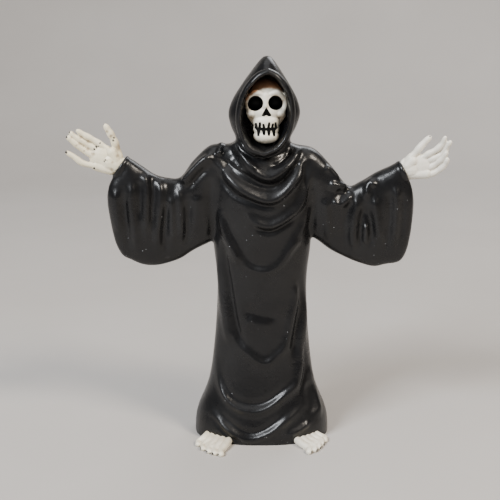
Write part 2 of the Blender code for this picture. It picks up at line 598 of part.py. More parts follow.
def make_hand(home, side):
    bm = bmesh.new()
    if side == LEFT:
        wrist = [(-51.2, -3.2, 107.4), (-54.2, -3.4, 109.2), (-57.4, -3.7, 110.8)]
        fingers = (
            [(-58.8, -4.0, 115.4), (-61.2, -4.3, 117.2), (-64.0, -4.6, 119.2), (-67.2, -4.9, 121.0),
             (-69.8, -5.2, 122.7)],
            [(-60.0, -4.0, 113.8), (-62.8, -4.3, 115.3), (-67.1, -4.6, 118.0), (-70.5, -4.9, 120.1),
             (-72.5, -5.2, 121.9)],
            [(-60.8, -4.2, 111.9), (-64.2, -4.6, 113.2), (-68.7, -5.0, 116.0), (-71.8, -5.4, 118.8),
             (-73.5, -5.8, 120.3)],
            [(-59.8, -4.2, 109.2), (-62.6, -4.5, 109.2), (-64.5, -4.8, 109.5), (-68.5, -5.2, 110.5),
             (-71.6, -5.5, 112.9), (-74.1, -5.8, 114.6)],
        )
        thumb = [(-54.8, -3.8, 112.9), (-56.1, -4.3, 118.2), (-57.5, -4.9, 121.6), (-59.2, -5.4, 124.6)]
        palm = [(-57.6, -3.6, 110.6), (-60.0, -3.9, 111.9), (-61.8, -4.2, 112.7)]
    else:
        wrist = [(50.8, -3.2, 105.9), (53.8, -3.4, 107.3), (56.4, -3.7, 108.2)]
        fingers = (
            [(57.2, -3.8, 111.1), (61.5, -4.7, 112.9), (63.6, -5.6, 114.4), (66.0, -6.4, 116.0),
             (67.9, -7.3, 118.3), (68.5, -8.2, 120.5)],
            [(58.0, -3.8, 109.9), (63.1, -4.8, 111.5), (65.6, -5.7, 112.6), (68.6, -6.7, 114.7),
             (69.5, -7.6, 117.0), (70.4, -8.6, 118.9)],
            [(58.1, -3.8, 108.4), (63.4, -4.9, 108.8), (66.0, -6.0, 110.5), (68.0, -7.1, 112.5),
             (69.3, -8.2, 114.8)],
            [(58.1, -3.8, 106.5), (62.9, -4.7, 106.2), (65.3, -5.6, 106.7), (67.6, -6.4, 108.4),
             (69.2, -7.3, 110.5), (69.8, -8.2, 112.3)],
        )
        thumb = [(54.2, -3.8, 108.4), (55.4, -4.2, 111.2), (57.2, -4.5, 113.2), (59.0, -4.9, 115.4),
                 (61.2, -5.2, 118.2), (63.1, -5.6, 120.2)]
        palm = [(56.6, -3.6, 108.4), (59.0, -3.9, 109.0), (61.2, -4.2, 109.5)]
    wrist, palm, thumb = (moved_out(points, side) for points in (wrist, palm, thumb))
    add_stroke(bm, wrist, [3.3, 4.0, 3.8], flat=0.75)
    add_stroke(bm, palm, [4.5, 4.9, 4.3], flat=0.46)
    for finger in fingers:
        add_finger(bm, moved_out(finger, side))
    add_finger(bm, thumb, 1.15)
    hand = mesh_object("hand", bm, home)
    fuse(hand, FINE_VOXEL, 2)
    return hand


def make_foot(home, side):
    """Five long bones, fanned out from under the hem, and their toes."""
    bm = bmesh.new()
    reach = FOOT_LENGTH / M / 15.0
    heel = (side * 15.3, -10.5)
    tips = ((15.9, -28.6), (18.4, -27.7), (20.7, -26.0), (23.1, -23.6), (25.2, -19.8))
    if side == RIGHT:
        tips = ((18.2, -26.4), (20.5, -24.8), (22.2, -22.3), (23.7, -19.3), (25.2, -15.9))
    for i, (x, y) in enumerate(tips):
        y = heel[1] + (y - heel[1]) * reach
        root = (heel[0] + side * (2.35 * i - 3.4), heel[1] - 0.2 * i)
        middle = ((root[0] + side * x) / 2, (root[1] + y) / 2)
        big = 1.6 - 0.06 * i
        add_stroke(bm, [(*root, 1.3 + 0.25 * i), (*middle, 1.3 + 0.15 * i), (side * x, y + 1.5, 1.0)],
                   [big, big * 0.9, big * 0.86])
        add_ball(bm, (side * x, y + 1.35, 0.9), (big * 0.94, big * 1.05, big * 0.85))
    sole = ((17.2, -22.6), (19.4, -21.0), (21.8, -18.0)) if side == LEFT else (
        (18.4, -20.8), (20.2, -18.9), (22.2, -16.4))
    add_stroke(bm, [(side * x, y, 0.8) for x, y in sole], [2.7, 3.1, 2.7], 0.6, (0, 0, 1))
    foot = mesh_object("foot", bm, home)
    fuse(foot, FINE_VOXEL, 2)
    return foot


def join_pieces(figure, pieces):
    """Make one skin of the robe and what comes out of it, then paint the pieces white."""
    bm = bmesh.new()
    for obj in [figure] + pieces:
        bm.from_mesh(obj.data)
    bm.to_mesh(figure.data)
    bm.free()
    fuse(figure, JOIN_VOXEL, 1)
    reduce_to(figure, TRIANGLES)
    for face in figure.data.polygons:
        for piece in pieces:
            found, spot, _, _ = piece.closest_point_on_mesh(face.center)
            if found and (spot - face.center).length < PAINT_REACH * M:
                face.material_index = 1
    for piece in pieces:
        bpy.data.objects.remove(piece)


def main():
    clear_scene()
    home = collection("grim_reaper_figurine")
    cutters = collection("grim_reaper_cutters")
    vinyl = material("black_vinyl", (0.012, 0.013, 0.015), 0.32, 0.3)
    white = material("bone_white_paint", (0.74, 0.72, 0.66), 0.45)
    hollow = material("black_paint", (0.004, 0.004, 0.004), 0.5)
    figure = make_robe(home, cutters)
    for finish in (vinyl, white, hollow):
        figure.data.materials.append(finish)
    pieces = [make_skull(home)]
    for side in (LEFT, RIGHT):
        pieces.append(make_hand(home, side))
        pieces.append(make_foot(home, side))
    join_pieces(figure, pieces)
    combine(figure, skull_holes(cutters, hollow), "DIFFERENCE")
    combine(figure, below_floor(cutters), "DIFFERENCE")
    figure.data.shade_smooth()
    figure.data.set_sharp_from_angle(angle=math.radians(50))


main()
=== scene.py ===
"""Grim reaper figurine in glossy black vinyl, with painted skull, hands and feet.

Everything is in metres and in the frame's own axes: the figure faces -Y and stands on z = 0.
Shapes are written in parts of the figure's height, 150 of them from the floor to the hood's point.
"""

import functools
import math

import bmesh
import bpy
import numpy as np
from mathutils import Matrix, Vector


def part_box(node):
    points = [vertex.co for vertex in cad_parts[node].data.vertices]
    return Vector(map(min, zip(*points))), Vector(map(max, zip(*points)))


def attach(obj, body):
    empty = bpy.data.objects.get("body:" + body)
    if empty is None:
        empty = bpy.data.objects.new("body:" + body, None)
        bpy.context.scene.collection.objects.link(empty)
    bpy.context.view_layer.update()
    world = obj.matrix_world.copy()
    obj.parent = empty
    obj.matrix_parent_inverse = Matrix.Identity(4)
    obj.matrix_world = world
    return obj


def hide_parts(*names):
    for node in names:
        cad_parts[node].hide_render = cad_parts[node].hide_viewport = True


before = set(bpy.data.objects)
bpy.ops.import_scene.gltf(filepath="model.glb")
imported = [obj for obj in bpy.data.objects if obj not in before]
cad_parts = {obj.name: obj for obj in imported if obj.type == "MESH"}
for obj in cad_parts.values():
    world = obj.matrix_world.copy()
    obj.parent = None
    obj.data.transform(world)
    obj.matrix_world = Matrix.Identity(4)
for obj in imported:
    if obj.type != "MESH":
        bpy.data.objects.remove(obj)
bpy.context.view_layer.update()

NODE = "grim_reaper_figurine"
TOP = 150.3  # the hood's point, in parts of the height
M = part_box(NODE)[1][2] / TOP
LEFT, RIGHT = -1.0, 1.0

# Grain of each fused skin, in parts of the height
ROBE_VOXEL = 0.46
HAND_VOXEL = 0.24
SKULL_VOXEL = 0.26
FOOT_VOXEL = 0.26
ROBE_SHARE = 0.68  # of the robe's triangles, kept so that it has fewer than 200,000
SHARP_EDGE = math.radians(50)

# Relief of the folds
FOLD_FADE = 0.22  # the share of its length over which a fold rises at each end
FOLD_END = 0.12  # how much of its height is left at its very end
FOLD_REACH = 3.0  # how many of its widths away a fold can still be felt

# Hands: a finger's radius, what the fingers, the thumb and a tip keep of it, and a pad's radius
FINGER = 1.5
FINGER_SHARE = 0.93
THUMB_SHARE = 1.08
FINGER_TIP = 0.84
PAD = 2.1

# The photograph's camera, in metres: a point it looks at, its distance, tilt and lens
CAMERA_TARGET = (-0.00474, 0.0, 0.07509)
CAMERA_DISTANCE = 0.3946
CAMERA_TILT = math.radians(14.0)
CAMERA_LENS = 72.0
CAMERA_SENSOR = 36.0
LIGHT_AIM = (0.0, 0.0, 0.08)


# Geometry helpers

def smooth_path(points, count):
    """Evenly many points along a Catmull-Rom curve through the given ones."""
    points = np.array(points, float)
    ends = np.vstack([2 * points[0] - points[1], points, 2 * points[-1] - points[-2]])
    at = np.linspace(0, len(points) - 1, count)
    span = np.minimum(at.astype(int), len(points) - 2)
    t = (at - span)[:, None]
    p0, p1, p2, p3 = (ends[span + k] for k in range(4))
    return 0.5 * (2 * p1 + (p2 - p0) * t + (2 * p0 - 5 * p1 + 4 * p2 - p3) * t**2
                  + (3 * p1 - p0 - 3 * p2 + p3) * t**3)


def profile(keys, at):
    """Rows of values, read smoothly at each place in `at`, from keys of (place, value, ...)."""
    keys = np.array(keys, float)
    dense = smooth_path(keys, 24 * len(keys))
    dense = dense[np.argsort(dense[:, 0], kind="stable")]
    columns = [np.interp(at, dense[:, 0], dense[:, k]) for k in range(1, keys.shape[1])]
    return np.stack(columns, axis=1)


def add_loft(bm, rings):
    """One closed skin through rings of points, in parts of the height."""
    loops = [[bm.verts.new(Vector(point) * M) for point in ring] for ring in rings]
    faces = []
    for low, high in zip(loops, loops[1:]):
        for i, corner in enumerate(low):
            j = (i + 1) % len(low)
            faces.append(bm.faces.new((corner, low[j], high[j], high[i])))
    faces.append(bm.faces.new(loops[0][::-1]))
    faces.append(bm.faces.new(loops[-1]))
    bmesh.ops.recalc_face_normals(bm, faces=faces)


@functools.lru_cache
def unit_ball(segments):
    """The corners and faces of a sphere of radius 1."""
    ball = bmesh.new()
    bmesh.ops.create_uvsphere(ball, u_segments=segments, v_segments=segments // 2, radius=1.0)
    ball.verts.index_update()
    corners = [corner.co.copy() for corner in ball.verts]
    faces = [[corner.index for corner in face.verts] for face in ball.faces]
    ball.free()
    return corners, faces


def add_ball(bm, centre, radii, segments=20, turn=None):
    """An ellipsoid, in parts of the height, turned by a matrix if one is given."""
    size = Matrix.Diagonal((*(Vector(radii) * M), 1.0))
    turned = turn.to_4x4() if turn is not None else Matrix.Identity(4)
    place = Matrix.Translation(Vector(centre) * M) @ turned @ size
    corners, faces = unit_ball(segments)
    made = [bm.verts.new(place @ corner) for corner in corners]
    for face in faces:
        bm.faces.new([made[k] for k in face])


def add_stroke(bm, points, radii, flat=1.0, across=(0.0, 1.0, 0.0)):
    """Overlapping beads along a smooth curve. A flat bead is thinner in the direction `across`."""
    length = sum((Vector(b) - Vector(a)).length for a, b in zip(points, points[1:]))
    count = max(5, int(4.5 * length / min(radii)))
    path = smooth_path([(*p, r) for p, r in zip(points, radii)], count)
    turn = Vector(across).to_track_quat("Y", "Z").to_matrix()
    for x, y, z, radius in path:
        add_ball(bm, (x, y, z), (radius, radius * flat, radius), 16, turn)


def mesh_object(name, bm):
    mesh = bpy.data.meshes.new(name)
    bm.to_mesh(mesh)
    bm.free()
    obj = bpy.data.objects.new(name, mesh)
    bpy.context.scene.collection.objects.link(obj)
    return obj


def apply_modifiers(obj):
    bpy.context.view_layer.update()
    evaluated = obj.evaluated_get(bpy.context.evaluated_depsgraph_get())
    mesh = bpy.data.meshes.new_from_object(evaluated)
    obj.modifiers.clear()
    old = obj.data
    obj.data = mesh
    bpy.data.meshes.remove(old)


def soften(obj, rounds):
    step = obj.modifiers.new("Soften", "SMOOTH")
    step.factor = 0.5
    step.iterations = rounds
    apply_modifiers(obj)


def fuse(obj, voxel, rounds):
    """Make one skin of overlapping forms and soften where they meet."""
    remesh = obj.modifiers.new("Fuse", "REMESH")
    remesh.mode = "VOXEL"
    remesh.voxel_size = voxel * M
    apply_modifiers(obj)
    soften(obj, rounds)


def thin(obj, share):
    """Keep this share of the triangles, and fewest of them where the skin is flat."""
    step = obj.modifiers.new("Thin", "DECIMATE")
    step.ratio = share
    apply_modifiers(obj)


def cut(obj, other):
    """Cut one object from another, keep the cutter's material on the new faces, and take it away."""
    step = obj.modifiers.new("Cut", "BOOLEAN")
    step.operation = "DIFFERENCE"
    step.solver = "EXACT"
    step.use_self = True
    step.material_mode = "TRANSFER"
    step.object = other
    apply_modifiers(obj)
    bpy.data.objects.remove(other)


def cut_hole(obj, bm, paint):
    hole = mesh_object("hole", bm)
    hole.data.materials.append(paint)
    cut(obj, hole)


def cut_below_floor(obj):
    """Take away what is below z = 0 and close the underside."""
    bm = bmesh.new()
    bm.from_mesh(obj.data)
    everything = bm.verts[:] + bm.edges[:] + bm.faces[:]
    bmesh.ops.bisect_plane(bm, geom=everything, plane_co=(0, 0, 0), plane_no=(0, 0, 1),
                           clear_inner=True)
    bmesh.ops.holes_fill(bm, edges=[edge for edge in bm.edges if edge.is_boundary], sides=0)
    bm.to_mesh(obj.data)
    bm.free()


def vertex_arrays(obj):
    count = len(obj.data.vertices)
    points, normals = np.empty(count * 3), np.empty(count * 3)
    obj.data.vertices.foreach_get("co", points)
    obj.data.vertices.foreach_get("normal", normals)
    return points.reshape(-1, 3), normals.reshape(-1, 3)


def set_points(obj, points):
    obj.data.vertices.foreach_set("co", points.reshape(-1))
    obj.data.update()


def finish_piece(obj):
    obj.data.shade_smooth()
    obj.data.set_sharp_from_angle(angle=SHARP_EDGE)
    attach(obj, "root")
    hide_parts(NODE)


# The robe's plain form

def oval(z, half_width, front, back, centre=0.0, fullness=0.86):
    """A level ring. Below 1, the fullness squares its corners out a little."""
    ring = []
    sides = 64
    for i in range(sides):
        turn = 2 * math.pi * i / sides
        wide = math.copysign(abs(math.cos(turn)) ** fullness, math.cos(turn))
        deep = math.copysign(abs(math.sin(turn)) ** fullness, math.sin(turn))
        ring.append((centre + half_width * wide, deep * (back if deep > 0 else front), z))
    return ring


def add_body(bm):
    """Skirt, waist, chest and shoulders as ovals: height, half width, front and back depth."""
    keys = (
        (-4, 27.0, 18.2, 14.6), (4, 27.0, 18.2, 14.6), (10, 25.8, 16.9, 14.0),
        (22, 21.3, 14.2, 12.6), (38, 19.0, 12.4, 11.4), (55, 17.8, 11.6, 10.6),
        (66, 17.8, 11.6, 10.4), (80, 19.2, 12.2, 10.8), (98, 19.4, 12.8, 11.4),
        (109, 17.2, 11.6, 11.2), (116, 12.4, 6.8, 9.6), (121, 8.0, 3.6, 7.6),
    )
    levels = np.linspace(keys[0][0], keys[-1][0], 110)
    rows = profile(keys, levels)
    add_loft(bm, [oval(z, *row) for z, row in zip(levels, rows)])


def hood_centre(z):
    """The hood leans a little to +X as it rises."""
    return 0.3 + 0.045 * (z - 120.0)


def add_hood(bm):
    """A pointed hood: height, half width, front and back depth."""
    keys = (
        (108, 11.0, 9.0, 9.6), (116, 10.9, 9.4, 10.0), (119.5, 10.5, 9.6, 10.4),
        (124, 12.5, 10.2, 11.4), (129, 13.7, 10.6, 12.2), (134, 12.4, 10.8, 12.0),
        (139, 9.6, 10.8, 10.4), (143.5, 6.6, 9.6, 8.2), (147, 4.1, 7.6, 5.2),
        (149.4, 2.2, 4.6, 2.6), (150.4, 0.9, 2.0, 1.0),
    )
    levels = np.linspace(keys[0][0], keys[-1][0], 80)
    rows = profile(keys, levels)
    add_loft(bm, [oval(z, *row, centre=hood_centre(z), fullness=0.94) for z, row in zip(levels, rows)])


def rim_path(count, inset=0.0):
    """The hood's face opening, a pointed arch closed under the chin, as (x, z) drawn in by the inset."""
    side = [(0, 145.4), (-3.6, 143.6), (-7.2, 139.4), (-9.3, 134.4), (-10.0, 128.6), (-8.9, 122.6),
            (-5.4, 117.2), (0, 114.6)]
    half = smooth_path(side, count // 2)
    other = half[1:-1][::-1] * (-1, 1)
    path = np.vstack([half, other])
    middle = np.array((0.0, 130.0))
    length = np.linalg.norm(path - middle, axis=1, keepdims=True)
    path = middle + (path - middle) * (1 - inset / length)
    path[:, 0] += hood_centre(path[:, 1]) + 0.3
    return path


def rim_depth(z):
    """How far forward the rim stands: furthest at the brow and over the chest."""
    return -10.3 - 0.9 * np.clip((z - 132) / 12, 0, 1) - 1.2 * np.clip((122 - z) / 8, 0, 1)


def add_hood_rim(bm):
    """A rolled lip round the face opening, with a thin crest along its front."""
    for x, z in rim_path(180):
        add_ball(bm, (x, rim_depth(z) + 0.9, z), (1.25, 2.5, 1.25), 16)
    for x, z in rim_path(300, 0.3):
        add_ball(bm, (x, rim_depth(z) - 1.35, z), (0.5, 0.6, 0.5), 10)


def hood_hollow():
    """The space inside the hood that the skull sits in."""
    bm = bmesh.new()
    rings = []
    for depth, inset in ((-17, 0.6), (-11, 0.7), (-8, 1.2), (-5.2, 2.2), (-3.6, 4.2)):
        rings.append([(x, depth, z) for x, z in rim_path(96, inset)])
    add_loft(bm, rings)
    return mesh_object("hood_hollow", bm)


def add_sleeve(bm, side):
    """Shoulder, crook and wide hanging sleeve, as upright sections along the arm.

    Keys: distance from the middle, top, bottom, half thickness at top and bottom.
    """
    if side == LEFT:
        keys = (
            (9, 119.0, 88, 8, 7), (13, 117.2, 82, 8.4, 6.5), (20, 116.6, 78.8, 8.2, 5.6),
            (26.6, 110.8, 75.6, 7.2, 4.8), (31.6, 104.4, 72.4, 6.4, 4.4), (36.5, 104.2, 70.6, 6.4, 4.4),
            (41.5, 105.6, 69.6, 6.5, 4.6), (46.6, 109.1, 70.0, 6.5, 4.6), (51.6, 112.0, 72.2, 6.1, 4.3),
            (54.6, 108.2, 74.0, 5.7, 3.9), (57.2, 105.0, 79.4, 4.9, 3.2), (58.9, 101.6, 88.5, 3.4, 2.4),
            (59.7, 98.2, 93.5, 1.2, 1.0),
        )
    else:
        keys = (
            (9, 118.5, 88, 8, 7), (13, 117, 82, 8.4, 6.5), (20, 115.3, 80.4, 8.2, 5.6),
            (26.6, 108.8, 75.8, 7.2, 4.8), (33.0, 101.2, 72.6, 6.4, 4.4), (38.0, 102.8, 70.6, 6.4, 4.4),
            (43.8, 106.4, 69.2, 6.5, 4.6), (48.4, 108.6, 70.2, 6.5, 4.6), (52.2, 110.2, 70.8, 6.1, 4.3),
            (54.6, 106.6, 72.2, 5.7, 3.9), (56.6, 103.4, 76.6, 4.9, 3.2), (57.8, 99.6, 84.0, 3.4, 2.4),
            (58.4, 96.0, 90.5, 1.2, 1.0),
        )
    first, last = keys[0][0], keys[-1][0]
    stations = last - (last - first) * np.cos(np.linspace(0, math.pi / 2, 96))
    stations[0], stations[-1] = first, last
    sides = 60
    rings = []
    for x, (top, bottom, upper, lower) in zip(stations, profile(keys, stations)):
        forward = -0.4 - 2.6 * max(0.0, (x - 19.0) / 34.0)
        ring = []
        for i in range(sides):
            turn = 2 * math.pi * i / sides
            drop = (1 - math.cos(turn)) / 2
            half = upper + (lower - upper) * drop
            rise = math.copysign(abs(math.cos(turn)) ** 0.8, math.cos(turn))
            bulge = math.copysign(abs(math.sin(turn)) ** 0.7, math.sin(turn))
            middle, reach = (top + bottom) / 2, (top - bottom) / 2
            ring.append((side * x, forward + half * bulge, middle + reach * rise))
        rings.append(ring)
    add_loft(bm, rings)


def add_cuff_lip(bm, side):
    """The rolled edge of the sleeve around the wrist."""
    top, bottom = ((51.7, 112.0), (56.7, 105.3)) if side == LEFT else ((52.3, 110.2), (55.4, 103.7))
    middle = (top[0] + bottom[0]) / 2, (top[1] + bottom[1]) / 2
    beads = 110
    for i in range(beads):
        turn = 2 * math.pi * i / beads
        along = math.cos(turn)
        x = side * (middle[0] + along * (top[0] - bottom[0]) / 2)
        z = middle[1] + along * (top[1] - bottom[1]) / 2
        add_ball(bm, (x, -3.1 + 4.0 * math.sin(turn), z), (0.9, 0.9, 0.9), 12)


def add_shoulder_roll(bm):
    """The small roll of cloth that stands up on the left shoulder, beside the hood."""
    add_stroke(bm, [(-16.4, -6.0, 114.6), (-15.8, -1.0, 116.3), (-15.2, 4.0, 115.0)], [1.2, 1.6, 1.2])


# Folds, as raised or sunk lines on the front and back of the robe

def fold(height, above, below, *points):
    """A line of relief through (x, z) points, with its own width on each side of the line."""
    return height, above, below, points


def front_folds():
    return (
        # Cowl round the neck
        fold(1.3, 2.2, 1.2, (-12.9, 120.2), (-9.6, 115.3), (-5.0, 109.5), (-0.4, 106.5), (3.4, 106.1),
             (9.1, 109.5), (12.9, 113.7), (13.6, 116.8)),
        fold(-0.9, 1.2, 1.2, (-15.5, 112.4), (-9.3, 106.5), (-0.1, 102.3), (6.5, 103.2), (14.3, 112.8)),
        fold(1.6, 2.4, 1.3, (-19.8, 113.0), (-14.9, 108.0), (-9.6, 102.6), (-4.4, 99.5), (-0.8, 97.9),
             (2.4, 97.3), (5.8, 98.3), (9.4, 101.4), (13.0, 106.0), (14.8, 110.7), (17.5, 112.6)),
        fold(1.0, 1.9, 1.2, (-6.0, 93.1), (-3.6, 89.6), (-0.4, 87.9), (3.0, 87.5), (6.8, 88.9),
             (10.8, 91.6), (14.3, 95.2), (17.4, 104.0), (19.3, 111.6)),
        fold(0.7, 1.8, 1.8, (21.1, 107.4), (19.1, 98.9), (17.1, 92.5), (15.1, 86.0), (7.6, 73.8)),
        # Ridge from the left crook over the shoulder, and the creases beside it
        fold(1.7, 1.2, 1.8, (-30.4, 102.0), (-28.6, 104.6), (-25.1, 108.6), (-22.0, 111.6), (-18.6, 114.0)),
        fold(-0.8, 1.0, 1.3, (-29.0, 100.6), (-25.0, 105.6), (-21.0, 109.4)),
        fold(0.8, 0.9, 1.2, (23.4, 109.4), (26.2, 107.4), (29.6, 103.6)),
        # Where the sleeves leave the body
        fold(-0.9, 1.9, 1.9, (-20.1, 106.6), (-20.0, 93.7), (-19.3, 85.0), (-19.9, 80.0)),
        fold(-0.9, 1.9, 1.9, (19.7, 105.8), (19.4, 98.0), (19.1, 89.4), (18.6, 81.0)),
        # Waist
        fold(-0.6, 1.5, 1.5, (-15.2, 93.4), (-13.2, 87.8), (-10.2, 81.7), (-4.3, 72.9), (2.5, 70.3)),
        fold(0.7, 1.5, 1.5, (-16.9, 94.6), (-14.5, 83.9), (-11.1, 77.3), (-8.6, 70.7)),
        fold(0.6, 1.8, 1.4, (-7.2, 71.7), (0.6, 69.3), (6.5, 71.7), (11.5, 78.7), (14.9, 82.2)),
        # Long folds down each side of the skirt
        fold(-1.0, 1.5, 1.5, (-15.0, 82.0), (-14.6, 73.0), (-13.1, 64.3), (-11.7, 55.0), (-9.3, 44.0),
             (-4.7, 33.7)),
        fold(0.7, 1.8, 1.8, (-17.2, 76.0), (-16.0, 62.0), (-14.2, 48.0), (-12.6, 38.0)),
        fold(-0.3, 1.8, 1.8, (-7.9, 54.2), (-1.0, 51.6), (6.2, 50.7)),
        fold(0.3, 2.6, 2.6, (-6.1, 50.4), (-2.0, 48.0), (4.0, 47.6)),
        fold(0.7, 1.7, 1.7, (12.2, 63.9), (13.3, 58.5), (11.6, 50.2), (9.0, 38.7), (3.1, 33.2)),
        fold(-0.8, 1.4, 1.4, (14.4, 66.0), (15.0, 55.0), (13.0, 42.0), (12.4, 33.0)),
        fold(0.8, 1.7, 1.7, (16.2, 62.3), (16.6, 50.2), (15.6, 39.9), (15.2, 31.0), (13.1, 22.0)),
        # Swags over the hem
        fold(0.6, 1.7, 1.5, (-10.5, 43.0), (-6.0, 36.5), (-1.0, 32.8), (2.5, 32.5), (7.0, 35.5)),
        fold(-0.55, 1.5, 1.3, (-16.5, 32.0), (-14.8, 22.0), (-9.5, 16.9), (-1.0, 16.4), (5.0, 19.0),
             (11.0, 24.0)),
        fold(0.8, 1.6, 1.5, (-18.4, 32.0), (-15.8, 21.3), (-11.5, 15.6), (-4.0, 13.2), (2.0, 14.6),
             (8.0, 18.8), (13.4, 23.0), (16.0, 30.0)),
        fold(-0.5, 1.3, 1.3, (-17.0, 13.0), (-12.3, 8.2), (-4.7, 4.9), (2.2, 7.0), (8.2, 11.6)),
        fold(0.8, 1.6, 1.5, (-20.4, 11.6), (-13.9, 5.9), (-6.7, 2.6), (1.2, 4.2), (9.2, 9.4),
             (16.2, 14.6)),
        fold(-0.5, 2.2, 2.2, (18.0, 23.5), (19.3, 16.8), (20.2, 9.9)),
        fold(0.7, 1.5, 1.5, (18.6, 30.6), (20.9, 21.8), (22.4, 14.9), (23.4, 7.4)),
        fold(0.6, 1.2, 1.2, (9.6, 3.6), (14.8, 5.6), (19.4, 8.2)),
    )


def fine_front_folds():
    """Narrow creases that are too fine for the solid."""
    return (
        fold(0.6, 0.9, 0.7, (-10.1, 115.8), (-7.6, 113.3), (-4.3, 110.3), (-1.0, 108.6)),
        fold(0.5, 0.8, 0.7, (-9.7, 119.9), (-4.3, 114.9), (-1.8, 113.7)),
        fold(-0.7, 0.8, 0.8, (-16.5, 113.0), (-12.2, 110.4), (-5.2, 106.2), (-1.0, 104.1), (2.4, 103.3),
             (5.3, 103.6), (8.6, 105.5), (11.9, 109.3), (13.7, 111.9)),
        fold(-0.6, 0.8, 0.8, (10.6, 116.6), (9.4, 113.7), (6.5, 111.2), (2.3, 109.9)),
        fold(-0.7, 0.7, 1.0, (-16.4, 105.6), (-10.6, 99.6), (-4.2, 96.9), (1.6, 95.2), (5.2, 95.6)),
        fold(-0.6, 0.8, 1.0, (-3.6, 86.6), (2.9, 85.2), (8.2, 87.5), (12.6, 90.6)),
        fold(-0.6, 0.9, 0.9, (15.6, 42.0), (16.9, 29.5), (16.6, 24.5), (15.1, 19.4)),
        fold(-0.6, 0.8, 0.8, (-19.4, 9.4), (-13.6, 3.8), (-6.7, 0.8)),
    )


def sleeve_folds():
    return (
        # Left sleeve, from the crook outwards
        fold(-1.3, 1.3, 1.3, (-28.5, 97.0), (-28.6, 89.6), (-29.3, 82.4), (-29.7, 76.7)),
        fold(0.9, 1.2, 1.2, (-32.4, 101.6), (-31.5, 95.0), (-31.2, 87.8), (-31.2, 79.0)),
        fold(0.5, 1.4, 1.4, (-24.9, 99.0), (-25.2, 92.0), (-25.6, 82.0)),
        fold(-1.2, 1.1, 1.1, (-36.2, 96.5), (-37.3, 87.8), (-37.7, 81.0), (-37.2, 74.9)),
        fold(0.8, 1.1, 1.1, (-34.9, 99.0), (-34.8, 89.6), (-34.3, 78.0)),
        fold(0.9, 1.2, 1.2, (-40.0, 105.2), (-38.8, 99.0), (-39.4, 91.2), (-40.4, 84.0), (-40.6, 75.0)),
        fold(-0.9, 0.9, 0.9, (-43.0, 106.0), (-41.6, 100.1), (-42.0, 93.5), (-42.4, 82.4)),
        fold(0.9, 1.2, 1.2, (-45.6, 107.3), (-44.2, 101.5), (-44.6, 92.0), (-44.4, 79.8)),
        fold(-0.9, 1.0, 1.0, (-47.2, 105.2), (-46.6, 97.8), (-46.8, 88.2)),
        fold(0.9, 1.3, 1.3, (-49.6, 104.4), (-50.0, 96.1), (-49.2, 86.4), (-48.2, 76.0)),
        fold(-1.1, 1.1, 1.1, (-52.9, 100.6), (-52.8, 91.2), (-52.2, 84.0), (-51.4, 76.0)),
        fold(0.8, 1.3, 1.3, (-56.0, 101.6), (-55.8, 92.2), (-54.9, 83.0)),
        # Right sleeve, gathered to a pouch at the crook
        fold(1.0, 1.2, 1.0, (25.0, 103.0), (28.9, 101.8), (32.7, 101.0)),
        fold(-1.2, 1.4, 1.4, (27.8, 100.0), (31.0, 98.6), (33.4, 100.0)),
        fold(1.0, 1.2, 1.2, (26.6, 97.0), (29.0, 94.8), (31.6, 96.0), (34.6, 99.5)),
        fold(-1.0, 1.2, 1.2, (35.2, 97.0), (32.7, 91.6), (31.5, 86.0), (32.6, 76.0)),
        fold(0.8, 1.3, 1.3, (24.2, 98.0), (24.8, 90.0), (26.2, 80.0)),
        fold(0.9, 1.2, 1.2, (36.6, 99.8), (35.5, 91.0), (35.0, 83.0), (35.8, 75.2)),
        fold(0.9, 1.0, 1.0, (39.8, 96.0), (40.2, 101.2), (41.7, 103.0), (43.0, 101.0)),
        fold(-1.2, 1.0, 1.0, (39.4, 94.9), (38.4, 89.8), (37.9, 84.4), (37.9, 76.8)),
        fold(-1.2, 1.0, 1.0, (39.6, 93.9), (41.0, 89.2), (42.0, 83.8), (41.4, 76.2)),
        fold(0.7, 0.9, 0.9, (39.8, 87.5), (39.7, 78.9)),
        fold(0.9, 1.2, 1.2, (42.6, 99.1), (44.0, 89.2), (45.6, 79.2)),
        fold(-1.2, 1.1, 1.1, (48.2, 101.3), (48.9, 92.8), (48.6, 83.4), (47.9, 75.9)),
        fold(0.9, 1.2, 1.2, (50.8, 103.1), (51.2, 92.0), (50.6, 77.4)),
        fold(-0.7, 0.9, 0.9, (53.3, 100.1), (53.8, 90.0), (53.3, 80.0)),
    )


